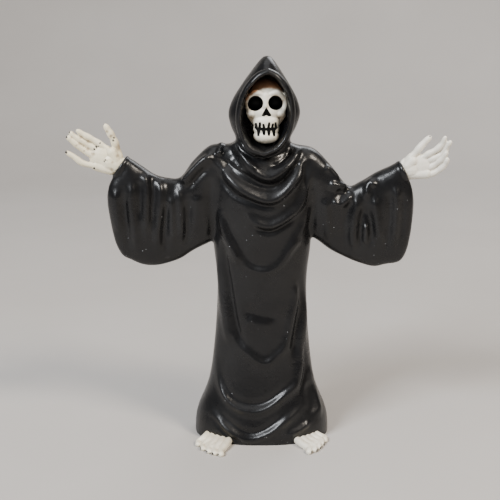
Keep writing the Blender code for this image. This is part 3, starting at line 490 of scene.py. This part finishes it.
def back_folds():
    folds = [
        # Hood and cowl
        fold(0.9, 2.0, 2.0, (0.8, 142.0), (0.5, 132.0), (0.3, 121.0)),
        fold(1.2, 1.4, 2.2, (13.5, 117.0), (8.0, 108.5), (0.0, 105.0), (-8.0, 108.5), (-13.5, 117.0)),
        fold(-0.8, 1.3, 1.3, (14.5, 111.0), (8.0, 104.0), (0.0, 101.0), (-8.0, 104.0), (-14.5, 111.0)),
        fold(1.2, 1.4, 2.4, (17.5, 110.5), (9.5, 100.0), (0.0, 96.0), (-9.5, 100.0), (-17.5, 110.5)),
        fold(-1.1, 1.8, 1.8, (20.0, 106.0), (19.4, 94.0), (19.0, 81.0)),
        fold(-1.1, 1.8, 1.8, (-20.0, 106.0), (-19.6, 94.0), (-19.4, 80.0)),
    ]
    # Long folds from the waist to the hem, wider apart at the hem, with hollows between
    for x in (-12.5, -6.0, 0.5, 7.0, 13.0):
        folds.append(fold(0.9, 1.9, 1.9, (x * 0.75, 84.0), (x * 0.85, 60.0), (x, 34.0), (x * 1.35, 6.0)))
    for x in (-9.3, -2.8, 3.8, 10.2):
        folds.append(fold(-0.7, 1.6, 1.6, (x * 0.8, 76.0), (x * 0.9, 50.0), (x * 1.25, 10.0)))
    # Hanging folds of both sleeves
    for side in (LEFT, RIGHT):
        for x, top in ((25.0, 104.0), (31.0, 99.0), (37.5, 99.0), (44.0, 102.0), (50.5, 104.0)):
            folds.append(fold(0.7, 1.7, 1.7, (side * x, top), (side * (x + 0.6), 88.0), (side * x, 74.0)))
        for x in (28.2, 34.4, 40.8, 47.4):
            folds.append(fold(-0.5, 1.6, 1.6, (side * x, 101.0), (side * x, 76.0)))
    return folds


def line_relief(place, height, above, below, points):
    """How much one fold raises each (x, z) place: full on its line, fading across it and at its ends."""
    path = smooth_path(points, 10 * len(points))
    along = np.linspace(0, 1, len(path))
    start, step = path[:-1], np.diff(path, axis=0)
    gap = place[:, None, :] - start[None]
    share = np.clip((gap * step).sum(2) / (step**2).sum(1), 0, 1)
    off = gap - share[..., None] * step
    distance = np.sqrt((off**2).sum(2))
    nearest = distance.argmin(1)
    rows = np.arange(len(place))
    offset, direction = off[rows, nearest], step[nearest]
    upper = (direction[:, 0] * offset[:, 1] - direction[:, 1] * offset[:, 0]) > 0
    width = np.where(upper, above, below)
    where = along[nearest] + share[rows, nearest] / (len(path) - 1)
    taper = np.clip(np.minimum(where, 1 - where) / FOLD_FADE, 0.0, 1)
    ease = taper * taper * (3 - 2 * taper)
    across = np.exp(-((distance[rows, nearest] / width) ** 2))
    return height * (FOLD_END + (1 - FOLD_END) * ease) * across


def carve_folds(obj, folds, facing, gain, sink, spread=1.0):
    """Move the side that faces the given way along Y: ridges times `gain`, creases times `sink`.

    A spread above 1 makes every fold that much wider.
    """
    points, normals = vertex_arrays(obj)
    weight = np.clip((normals[:, 1] * facing - 0.1) / 0.4, 0, 1)
    place = points[:, (0, 2)] / M
    total = np.zeros(len(points))
    for height, above, below, path in folds:
        height *= gain if height > 0 else sink
        above, below = above * spread, below * spread
        reach = FOLD_REACH * max(above, below)
        low, high = np.min(path, axis=0) - reach, np.max(path, axis=0) + reach
        near = np.flatnonzero((weight > 0) & np.all((place > low) & (place < high), axis=1))
        if len(near):
            total[near] += line_relief(place[near], height, above, below, path)
    set_points(obj, points + normals * (total * weight * M)[:, None])


def make_robe(vinyl):
    """Robe, sleeves and hollow hood in one skin, with its folds."""
    bm = bmesh.new()
    add_hood(bm)
    hood = mesh_object("hood", bm)
    cut(hood, hood_hollow())
    bm = bmesh.new()
    bm.from_mesh(hood.data)
    bpy.data.objects.remove(hood)
    add_body(bm)
    add_hood_rim(bm)
    for side in (LEFT, RIGHT):
        add_sleeve(bm, side)
        add_cuff_lip(bm, side)
    add_shoulder_roll(bm)
    robe = mesh_object("robe", bm)
    fuse(robe, ROBE_VOXEL, rounds=5)
    carve_folds(robe, front_folds() + fine_front_folds(), facing=-1.0, gain=1.4, sink=1.2)
    carve_folds(robe, sleeve_folds(), facing=-1.0, gain=1.3, sink=0.7, spread=1.3)
    carve_folds(robe, back_folds(), facing=1.0, gain=1.15, sink=1.15)
    soften(robe, rounds=2)
    cut_below_floor(robe)
    thin(robe, ROBE_SHARE)
    robe.data.materials.append(vinyl)
    finish_piece(robe)


# The skull

def cut_socket(skull, x, z, wide, tall, paint):
    """A round hollow with a rounded bottom, sunk a little downwards into the face."""
    sides = 48
    rings = []
    for depth, share in ((-5.0, 1.0), (2.6, 1.0), (3.5, 0.9), (4.2, 0.66), (4.6, 0.35)):
        ring = []
        for i in range(sides):
            turn = 2 * math.pi * i / sides
            ring.append((x + wide * share * math.cos(turn), -9.2 + depth,
                         z - 0.22 * depth + tall * share * math.sin(turn)))
        rings.append(ring)
    hole = bmesh.new()
    add_loft(hole, rings)
    cut_hole(skull, hole, paint)


def cut_outline(skull, outline, depth_at, paint):
    """Sink an outline of (x, z) points into the face, down to what `depth_at` says for each x."""
    hole = bmesh.new()
    add_loft(hole, [[(x, -15.0, z) for x, z in outline],
                    [(x, depth_at(x), z) for x, z in outline]])
    cut_hole(skull, hole, paint)


def jaw_depth(x):
    """The bottom of the gaps between the teeth, a little under the curved front of the jaws."""
    return -8.9 + 4.2 * (1 - math.sqrt(max(0.0, 1 - ((x - 1.4) / 5.2) ** 2)))


def mouth_outline():
    """The mouth's dark line, with a slot up or down at each gap between two teeth."""
    upper = ((-2.3, 126.2, -0.25), (-1.1, 126.6, 0.1), (0.5, 126.0, -0.3), (2.2, 126.6, 0.25),
             (3.6, 126.1, 0.3), (4.9, 126.5, -0.1))
    lower = ((-1.5, 121.3, -0.15), (0.4, 121.7, 0.1), (2.3, 121.5, 0.0), (4.1, 121.2, 0.2))
    outline = [(-3.1, 124.3)]
    for x, z, lean in upper:
        outline += [(x - 0.58, 124.55), (x - 0.36 + lean, z),
                    (x + 0.34 + lean, z), (x + 0.54, 124.6)]
    outline.append((5.8, 124.2))
    for x, z, lean in reversed(lower):
        outline += [(x + 0.72, 123.4), (x + 0.42 + lean, z),
                    (x - 0.36 + lean, z), (x - 0.68, 123.3)]
    return outline


def make_skull(bone, hollow):
    """Cranium, brows, cheekbones and jaws in one skin, with its hollows cut in."""
    bm = bmesh.new()
    add_ball(bm, (1.2, -2.4, 134.6), (7.5, 7.6, 8.6), 40)
    add_ball(bm, (1.2, -4.6, 130.4), (6.9, 5.2, 4.6), 32)
    for side in (LEFT, RIGHT):
        add_ball(bm, (1.2 + side * 5.3, -6.4, 129.7), (2.1, 2.6, 1.6))
        add_stroke(bm, [(1.2 + side * 0.8, -9.0, 136.6), (1.2 + side * 4.0, -9.0, 137.5),
                        (1.2 + side * 6.9, -6.6, 135.2)], [0.8, 1.0, 0.8])
        add_stroke(bm, [(1.2 + side * 6.9, -5.9, 136.2), (1.3 + side * 6.9, -5.6, 133.0),
                        (1.4 + side * 6.0, -6.2, 130.2)], [1.0, 1.1, 1.2])
        add_stroke(bm, [(1.4 + side * 5.8, -5.4, 128.7), (1.4 + side * 5.1, -5.3, 127.4),
                        (1.4 + side * 4.1, -5.3, 125.6)], [1.5, 1.3, 1.0])
    add_ball(bm, (1.3, -6.0, 126.6), (5.2, 4.3, 3.2), 28)
    add_ball(bm, (1.4, -5.8, 123.8), (5.0, 4.2, 3.4), 28)
    add_ball(bm, (1.4, -6.1, 121.0), (4.9, 4.1, 2.9), 28)
    add_stroke(bm, [(1.1, -9.0, 136.4), (1.1, -9.5, 132.6)], [1.2, 0.9])
    skull = mesh_object("skull", bm)
    fuse(skull, SKULL_VOXEL, rounds=4)
    skull.data.materials.append(bone)
    cut_socket(skull, -2.7, 133.5, 2.88, 2.82, hollow)
    cut_socket(skull, 4.75, 133.7, 2.78, 2.68, hollow)
    nose = [(1.35, 132.1), (0.55, 130.9), (-0.25, 129.4), (-0.35, 128.8), (0.5, 128.6),
            (1.35, 129.1), (2.3, 128.6), (3.2, 128.8), (3.1, 129.4), (2.15, 130.9)]
    cut_outline(skull, nose, lambda x: -8.2, hollow)
    cut_outline(skull, mouth_outline(), jaw_depth, hollow)
    finish_piece(skull)


# Hands and feet

def add_finger(bm, points, thickness):
    """Beads along a finger, a little fuller at the joints than between them."""
    path = smooth_path(points, 19)
    radii = []
    for i in range(len(path)):
        share = i / (len(path) - 1)
        joint = 0.5 + 0.5 * math.cos(6 * math.pi * share)
        point = 1 - 0.3 * max(0.0, (share - 0.84) / 0.16) ** 2
        slim = 1 - (1 - FINGER_TIP) * share
        radii.append(FINGER * thickness * slim * (0.87 + 0.16 * joint) * point)
    add_stroke(bm, [tuple(p) for p in path], radii)


def make_hand(side, bone):
    """An open hand with spread fingers: wrist, palm and its pads, and five fingers."""
    bm = bmesh.new()
    if side == LEFT:
        wrist = [(-54.0, -3.3, 108.8), (-56.0, -3.6, 109.8), (-57.9, -3.9, 110.8)]
        fingers = (
            [(-58.8, -4.0, 115.4), (-61.2, -4.3, 117.2), (-64.0, -4.6, 119.2), (-67.2, -4.9, 121.0),
             (-69.8, -5.2, 122.7)],
            [(-60.0, -4.0, 113.8), (-62.8, -4.3, 115.3), (-67.1, -4.6, 118.0), (-70.5, -4.9, 120.1),
             (-72.5, -5.2, 121.9)],
            [(-60.8, -4.2, 111.9), (-64.2, -4.6, 113.2), (-68.7, -5.0, 116.0), (-71.8, -5.4, 118.8),
             (-73.5, -5.8, 120.3)],
            [(-59.8, -4.2, 109.2), (-62.6, -4.5, 109.2), (-64.5, -4.8, 109.5), (-68.5, -5.2, 110.5),
             (-71.6, -5.5, 112.9), (-74.1, -5.8, 114.6)],
        )
        thumb = [(-54.8, -3.8, 112.9), (-56.1, -4.3, 118.2), (-57.5, -4.9, 121.6), (-59.2, -5.4, 124.6)]
        palm = [(-57.6, -3.6, 110.6), (-60.0, -3.9, 111.9), (-61.8, -4.2, 112.7)]
        pads = (((-56.0, -4.7, 111.8), (-57.0, -4.9, 114.6)),
                ((-63.2, -4.4, 109.4), (-58.0, -4.2, 107.8)))
    else:
        wrist = [(53.7, -3.2, 106.8), (55.2, -3.4, 107.4), (56.8, -3.7, 108.0)]
        fingers = (
            [(57.2, -3.8, 111.1), (61.5, -4.7, 112.9), (63.6, -5.6, 114.4), (66.0, -6.4, 116.0),
             (67.9, -7.3, 118.3), (68.5, -8.2, 120.5)],
            [(58.0, -3.8, 109.9), (63.1, -4.8, 111.5), (65.6, -5.7, 112.6), (68.6, -6.7, 114.7),
             (69.5, -7.6, 117.0), (70.4, -8.6, 118.9)],
            [(58.1, -3.8, 108.4), (63.4, -4.9, 108.8), (66.0, -6.0, 110.5), (68.0, -7.1, 112.5),
             (69.3, -8.2, 114.8)],
            [(58.1, -3.8, 106.5), (62.9, -4.7, 106.2), (65.3, -5.6, 106.7), (67.6, -6.4, 108.4),
             (69.2, -7.3, 110.5), (69.8, -8.2, 112.3)],
        )
        thumb = [(54.2, -3.8, 108.4), (55.4, -4.2, 111.2), (57.2, -4.5, 113.2), (59.0, -4.9, 115.4),
                 (61.2, -5.2, 118.2), (63.1, -5.6, 120.2)]
        palm = [(56.6, -3.6, 108.4), (59.0, -3.9, 109.0), (61.2, -4.2, 109.5)]
        pads = (((55.4, -4.6, 109.2), (57.0, -4.9, 111.2)),
                ((62.6, -4.8, 106.4), (57.0, -4.2, 106.2)))
    add_stroke(bm, wrist, [3.5, 3.9, 3.9], flat=0.82)
    add_stroke(bm, palm, [4.6, 4.9, 4.4], flat=0.5)
    for pad in pads:
        add_stroke(bm, pad, [PAD, PAD])
    for finger in fingers:
        add_finger(bm, finger, FINGER_SHARE)
    add_finger(bm, thumb, THUMB_SHARE)
    hand = mesh_object("left_hand" if side == LEFT else "right_hand", bm)
    fuse(hand, HAND_VOXEL, rounds=2)
    hand.data.materials.append(bone)
    finish_piece(hand)


def make_foot(side, bone):
    """Five long bones, fanned out from under the hem, and their toes."""
    bm = bmesh.new()
    heel = (side * 15.3, -10.5)
    tips = ((15.9, -28.6), (18.4, -27.7), (20.7, -26.0), (23.1, -23.6), (25.2, -19.8))
    if side == RIGHT:
        tips = ((18.2, -26.4), (20.5, -24.8), (22.2, -22.3), (23.7, -19.3), (25.2, -15.9))
    for i, (x, y) in enumerate(tips):
        root = (heel[0] + side * (2.35 * i - 3.4), heel[1] - 0.2 * i)
        middle = ((root[0] + side * x) / 2, (root[1] + y) / 2)
        big = 1.6 - 0.06 * i
        bone_line = [(*root, 1.3 + 0.25 * i), (*middle, 1.4 + 0.15 * i),
                     (side * x, y + 3.4, 0.95), (side * x, y + 1.4, 0.8)]
        add_stroke(bm, bone_line, [big, big * 0.94, big * 0.78, big * 0.8])
        add_ball(bm, (side * x, y + 1.45, 0.75), (big * 0.84, big * 1.1, big * 0.8))
    sole = ((17.2, -22.6), (19.4, -21.0), (21.8, -18.0)) if side == LEFT else (
        (18.4, -20.8), (20.2, -18.9), (22.2, -16.4))
    add_stroke(bm, [(side * x, y, 0.6) for x, y in sole], [2.7, 3.1, 2.7], flat=0.6, across=(0, 0, 1))
    foot = mesh_object("left_foot" if side == LEFT else "right_foot", bm)
    fuse(foot, FOOT_VOXEL, rounds=2)
    cut_below_floor(foot)
    foot.data.materials.append(bone)
    finish_piece(foot)


# Materials

class Nodes:
    """Short names for building a node tree."""

    def __init__(self, name):
        self.material = bpy.data.materials.new(name)
        self.material.use_nodes = True
        self.tree = self.material.node_tree
        self.shader = self.tree.nodes["Principled BSDF"]
        self.place = self.tree.nodes.new("ShaderNodeTexCoord").outputs["Object"]

    def link(self, source, target):
        self.tree.links.new(source, target)

    def noise(self, scale, detail, roughness=0.55):
        node = self.tree.nodes.new("ShaderNodeTexNoise")
        node.inputs["Scale"].default_value = scale
        node.inputs["Detail"].default_value = detail
        node.inputs["Roughness"].default_value = roughness
        self.link(self.place, node.inputs["Vector"])
        return node.outputs["Fac"]

    def specks(self, scale, size):
        """Small round spots, 1 inside and 0 outside."""
        node = self.tree.nodes.new("ShaderNodeTexVoronoi")
        node.inputs["Scale"].default_value = scale
        self.link(self.place, node.inputs["Vector"])
        return self.ramp(node.outputs["Distance"], (size * 0.6, 1.0), (size, 0.0))

    def ramp(self, source, *stops):
        node = self.tree.nodes.new("ShaderNodeValToRGB")
        ramp = node.color_ramp
        while len(ramp.elements) < len(stops):
            ramp.elements.new(0.5)
        for element, (position, value) in zip(ramp.elements, stops):
            element.position = position
            colour = value if isinstance(value, tuple) else (value, value, value)
            element.color = (*colour, 1.0)
        self.link(source, node.inputs["Fac"])
        return node.outputs["Color"]

    def math(self, operation, first, second, clamp=False):
        node = self.tree.nodes.new("ShaderNodeMath")
        node.operation = operation
        node.use_clamp = clamp
        for value, socket in zip((first, second), node.inputs):
            if isinstance(value, (int, float)):
                socket.default_value = value
            else:
                self.link(value, socket)
        return node.outputs[0]

    def plus(self, first, second):
        return self.math("ADD", first, second)

    def minus(self, first, second, clamp=False):
        return self.math("SUBTRACT", first, second, clamp)

    def times(self, first, second, clamp=False):
        return self.math("MULTIPLY", first, second, clamp)

    def mix(self, share, first, second):
        """The first colour, with this share of the second over it."""
        node = self.tree.nodes.new("ShaderNodeMix")
        node.data_type = "RGBA"
        for value, socket in zip((share, first, second), (node.inputs[0], node.inputs[6], node.inputs[7])):
            if isinstance(value, tuple):
                socket.default_value = (*value, 1.0)
            elif isinstance(value, (int, float)):
                socket.default_value = value
            else:
                self.link(value, socket)
        return node.outputs[2]

    def bump(self, height, strength, distance):
        """Fine grain only: everything that can be seen as a shape is mesh."""
        node = self.tree.nodes.new("ShaderNodeBump")
        node.inputs["Strength"].default_value = strength
        node.inputs["Distance"].default_value = distance
        self.link(height, node.inputs["Height"])
        self.link(node.outputs["Normal"], self.shader.inputs["Normal"])

    def sideways(self):
        """1 where the surface faces neither forward nor back."""
        geometry = self.tree.nodes.new("ShaderNodeNewGeometry")
        split = self.tree.nodes.new("ShaderNodeSeparateXYZ")
        self.link(geometry.outputs["Normal"], split.inputs[0])
        return self.ramp(self.math("ABSOLUTE", split.outputs["Y"], 0.0), (0.12, 1.0), (0.62, 0.0))

    def pointiness(self, low, high):
        """0 in hollows and 1 on ridges."""
        geometry = self.tree.nodes.new("ShaderNodeNewGeometry")
        return self.ramp(geometry.outputs["Pointiness"], (low, 0.0), (high, 1.0))

    def away_from(self, x, y, z, axes):
        """Distance from a place, in parts of the height, along the given axes only."""
        flat = self.tree.nodes.new("ShaderNodeVectorMath")
        flat.operation = "MULTIPLY"
        flat.inputs[1].default_value = Vector(axes) / M
        self.link(self.place, flat.inputs[0])
        node = self.tree.nodes.new("ShaderNodeVectorMath")
        node.operation = "DISTANCE"
        node.inputs[1].default_value = (x * axes[0], y * axes[1], z * axes[2])
        self.link(flat.outputs[0], node.inputs[0])
        return node.outputs["Value"]

    def spots(self, places, ragged, crisp):
        """1 near any of the (x, y, z, radius) places and 0 away from them, with a ragged edge."""
        edge = self.times(self.minus(self.noise(1900.0, 3.0), 0.5), ragged)
        found = 0.0
        for x, y, z, radius in places:
            away = self.math("DIVIDE", self.away_from(x, y, z, (1.0, 0.35, 1.0)), radius)
            near = self.times(self.minus(1.0, self.plus(away, edge)), crisp, True)
            found = self.math("MAXIMUM", found, near)
        return found


# Colours
VINYL_DEEP, VINYL_DULL = (0.0045, 0.0045, 0.0050), (0.0095, 0.0095, 0.0100)
RUBBED, DUST = (0.09, 0.09, 0.095), (0.42, 0.44, 0.47)
# Browns of painted shade: in hollows, where a surface turns sideways, and in given spots
HOLLOW_SHADE_BROWN, SIDE_SHADE_BROWN, SPOT_SHADE = (0.30, 0.225, 0.14), (0.40, 0.30, 0.18), (0.34, 0.25, 0.15)
BARE_VINYL = (0.022, 0.019, 0.017)
# Painted shadow of the hood on the forehead: brown at its edge, near black higher up
HOOD_SHADOW_LOW, HOOD_SHADOW_HIGH, HOOD_SHADOW_TOP = (0.44, 0.23, 0.12), (0.22, 0.105, 0.055), (0.03, 0.022, 0.018)
FLOOR_DARK, FLOOR_LIGHT = (0.42, 0.395, 0.37), (0.45, 0.425, 0.40)

# Spots of painted shade, and chips of the paint: (x, y, z, radius), in parts of the height
SKULL_SHADE_SPOTS = ((-6.4, -6.0, 135.5, 2.2), (-6.6, -6.0, 132.6, 1.7), (7.6, -7.0, 127.4, 2.4),
                (-4.6, -7.5, 127.4, 2.2), (6.8, -7.0, 123.6, 1.6), (-3.6, -7.5, 120.0, 1.5),
                (6.6, -7.0, 120.4, 1.6))
LEFT_HAND_SHADE_SPOTS = ((-54.6, -5.0, 116.4, 1.9), (-55.2, -5.5, 113.4, 0.9), (-56.9, -6.0, 111.0, 0.8),
               (-57.5, -6.0, 108.2, 0.9), (-58.6, -6.0, 122.6, 0.8), (-57.2, -6.0, 121.0, 0.8),
               (-71.1, -5.0, 122.2, 0.9), (-68.6, -5.0, 120.4, 0.9), (-66.0, -5.0, 118.7, 0.9),
               (-72.2, -5.0, 120.4, 0.8), (-69.4, -5.0, 118.0, 0.8), (-66.2, -5.0, 115.9, 0.9),
               (-64.2, -5.0, 114.2, 1.1), (-67.6, -5.5, 115.2, 0.6), (-70.4, -5.6, 117.4, 0.6))
LEFT_CHIPS = ((-73.0, -6.2, 122.6, 0.62), (-74.1, -6.6, 120.7, 0.62), (-74.4, -6.6, 114.9, 0.62),
              (-63.0, -6.0, 116.8, 0.62), (-63.8, -6.0, 115.8, 0.5), (-62.2, -6.0, 116.9, 0.45),
              (-61.5, -6.0, 118.2, 0.4), (-59.5, -6.2, 111.9, 0.42), (-60.0, -6.2, 111.3, 0.3),
              (-58.9, -6.2, 111.4, 0.3), (-64.0, -6.0, 108.6, 0.5), (-56.5, -6.0, 119.2, 0.42),
              (-56.1, -6.0, 120.2, 0.42), (-59.9, -6.4, 125.5, 0.45))
RIGHT_CHIPS = ((63.2, -6.6, 120.9, 0.35),)
LEFT_FOOT_CHIPS = ((-17.1, -29.0, 0.8, 0.6), (-19.4, -27.8, 0.8, 0.6), (-21.8, -26.0, 0.8, 0.6),
                   (-24.2, -22.6, 0.8, 0.6))
RIGHT_FOOT_CHIPS = ((19.4, -26.4, 0.8, 0.6), (21.4, -24.4, 0.8, 0.6), (23.0, -21.6, 0.8, 0.6),
                    (24.4, -18.2, 0.8, 0.6))


def black_vinyl():
    """Smooth black vinyl, rubbed a little grey on its ridges, with dust specks and dull patches."""
    n = Nodes("black_vinyl")
    patches = n.ramp(n.noise(55.0, 5.0), (0.35, 0.0), (0.7, 1.0))
    base = n.mix(patches, VINYL_DEEP, VINYL_DULL)
    uneven = n.ramp(n.noise(260.0, 3.0), (0.45, 0.0), (0.7, 1.0))
    rubbed = n.times(n.pointiness(0.52, 0.60), uneven)
    base = n.mix(n.times(rubbed, 0.35), base, RUBBED)
    rare = n.ramp(n.noise(120.0, 2.0), (0.55, 0.0), (0.62, 1.0))
    dust = n.times(n.specks(420.0, 0.085), rare)
    base = n.mix(n.times(dust, 0.8), base, DUST)
    n.link(base, n.shader.inputs["Base Color"])
    dull = n.ramp(n.noise(90.0, 6.0, 0.65), (0.3, 0.22), (0.72, 0.38))
    n.link(n.plus(dull, n.times(dust, 0.4)), n.shader.inputs["Roughness"])
    n.shader.inputs["Specular IOR Level"].default_value = 0.36
    n.bump(n.plus(n.noise(700.0, 3.0), n.times(n.noise(130.0, 3.0), 1.6)), 0.18, 0.0004)
    return n.material


def painted(n, shade_spots, chips, warmth):
    """Thick off-white paint, with painted shade in its hollows, on its sides and in given spots, and
    chipped in places.
    """
    tone = n.ramp(n.noise(140.0, 5.0), (0.3, (0.83, 0.80 - 0.07 * warmth, 0.70 - 0.20 * warmth)),
                  (0.7, (0.91, 0.88 - 0.04 * warmth, 0.80 - 0.16 * warmth)))
    # Painted shade: darker and browner in the hollows, where the pointiness is low
    low = n.minus(1.0, n.pointiness(0.44, 0.503))
    hollow_shade = n.times(low, n.ramp(n.noise(220.0, 4.0), (0.35, 0.35), (0.65, 1.0)))
    colour = n.mix(n.times(hollow_shade, 0.85), tone, HOLLOW_SHADE_BROWN)
    # Painted shade: browner where the surface turns sideways, away from the front and back
    side_shade = n.times(n.sideways(), n.ramp(n.noise(240.0, 4.0), (0.3, 0.25), (0.65, 1.0)))
    colour = n.mix(n.times(side_shade, 0.25 + 0.35 * warmth), colour, SIDE_SHADE_BROWN)
    # Painted shade in the given spots: between the fingers, in creases and in the skull's hollows
    if shade_spots:
        colour = n.mix(n.times(n.spots(shade_spots, 0.9, 1.5), 0.75), colour, SPOT_SHADE)
    if chips:
        colour = n.mix(n.spots(chips, 2.2, 6.0), colour, BARE_VINYL)
    return colour


def bone_finish(n, colour):
    n.link(colour, n.shader.inputs["Base Color"])
    n.link(n.ramp(n.noise(300.0, 4.0), (0.3, 0.34), (0.7, 0.5)), n.shader.inputs["Roughness"])
    n.bump(n.noise(900.0, 3.0), 0.12, 0.0003)
    return n.material


def bone_paint(name, shade_spots, chips, warmth):
    n = Nodes(name)
    return bone_finish(n, painted(n, shade_spots, chips, warmth))


def skull_paint():
    """Beyond an arc over the brow the paint carries a painted shadow of the hood, brown at its edge and
    near black higher up.
    """
    n = Nodes("skull_paint")
    face = painted(n, SKULL_SHADE_SPOTS, (), 0.3)
    # Painted shadow of the hood on the forehead, beyond an arc over the brow
    over = n.minus(n.away_from(2.3, 0.0, 129.5, (1, 0, 1)), 9.3)
    over = n.plus(over, n.times(n.minus(n.noise(420.0, 4.0), 0.5), 1.6))
    high = n.minus(9.0, n.away_from(0.0, 0.0, 141.0, (0, 0, 1)), True)
    hood_shadow = n.ramp(n.times(over, 0.25), (0.0, HOOD_SHADOW_LOW), (0.55, HOOD_SHADOW_HIGH), (1.0, HOOD_SHADOW_TOP))
    shadow_mask = n.times(n.times(over, 1.6, True), high)
    return bone_finish(n, n.mix(shadow_mask, face, hood_shadow))


def black_paint():
    """The matt black in the eye sockets, the nose and the gaps between the teeth."""
    n = Nodes("black_paint")
    n.link(n.ramp(n.noise(200.0, 3.0), (0.3, 0.0015), (0.7, 0.004)), n.shader.inputs["Base Color"])
    n.shader.inputs["Roughness"].default_value = 0.45
    n.shader.inputs["Specular IOR Level"].default_value = 0.2
    return n.material


def pale_floor():
    n = Nodes("pale_floor")
    n.link(n.ramp(n.noise(8.0, 3.0), (0.3, FLOOR_DARK), (0.7, FLOOR_LIGHT)), n.shader.inputs["Base Color"])
    n.shader.inputs["Roughness"].default_value = 0.75
    return n.material


# Floor, lights and camera

def make_floor():
    """A pale floor that curves up into a plain backdrop."""
    bm = bmesh.new()
    front, edge, bend, top, steps = -1.2, 0.55, 0.35, 2.0, 12
    outline = [(front, 0.0), (edge, 0.0)]
    for i in range(1, steps + 1):
        turn = math.pi / 2 * i / steps
        outline.append((edge + bend * math.sin(turn), bend - bend * math.cos(turn)))
    outline.append((edge + bend, top))
    rows = [[bm.verts.new((x, y, z)) for x in (-2.0, 2.0)] for y, z in outline]
    for near, far in zip(rows, rows[1:]):
        bm.faces.new((near[0], near[1], far[1], far[0]))
    floor = mesh_object("floor", bm)
    floor.data.materials.append(pale_floor())
    floor.data.shade_smooth()


def add_light(name, place, size, power, colour):
    data = bpy.data.lights.new(name, "AREA")
    data.energy = power
    data.size = size
    data.color = colour
    light = bpy.data.objects.new(name, data)
    bpy.context.scene.collection.objects.link(light)
    light.location = place
    aim = Vector(LIGHT_AIM) - Vector(place)
    light.rotation_euler = aim.to_track_quat("-Z", "Y").to_euler()


def light_scene():
    add_light("cool_key", (-0.55, -0.55, 0.75), 0.35, 16.0, (0.93, 0.96, 1.0))
    add_light("warm_key", (0.60, -0.45, 0.80), 0.25, 11.0, (1.0, 0.90, 0.78))
    add_light("soft_top", (0.0, 0.1, 1.2), 0.9, 3.5, (1.0, 1.0, 1.0))
    add_light("back_fill", (0.35, 0.75, 0.7), 0.5, 4.0, (0.95, 0.97, 1.0))
    world = bpy.data.worlds.new("studio")
    world.use_nodes = True
    background = world.node_tree.nodes["Background"]
    background.inputs["Color"].default_value = (0.8, 0.82, 0.85, 1.0)
    background.inputs["Strength"].default_value = 0.09
    bpy.context.scene.world = world


def place_camera():
    data = bpy.data.cameras.new("camera")
    data.sensor_width = CAMERA_SENSOR
    data.lens = CAMERA_LENS
    camera = bpy.data.objects.new("camera", data)
    bpy.context.scene.collection.objects.link(camera)
    away = Vector((0.0, -math.cos(CAMERA_TILT), math.sin(CAMERA_TILT)))
    camera.location = Vector(CAMERA_TARGET) + away * CAMERA_DISTANCE
    camera.rotation_euler = (math.pi / 2 - CAMERA_TILT, 0.0, 0.0)
    bpy.context.scene.camera = camera


make_robe(black_vinyl())
make_skull(skull_paint(), black_paint())
make_hand(LEFT, bone_paint("left_hand_paint", LEFT_HAND_SHADE_SPOTS, LEFT_CHIPS, 1.0))
make_hand(RIGHT, bone_paint("right_hand_paint", (), RIGHT_CHIPS, 0.1))
make_foot(LEFT, bone_paint("left_foot_paint", (), LEFT_FOOT_CHIPS, 0.5))
make_foot(RIGHT, bone_paint("right_foot_paint", (), RIGHT_FOOT_CHIPS, 0.3))
make_floor()
light_scene()
place_camera()
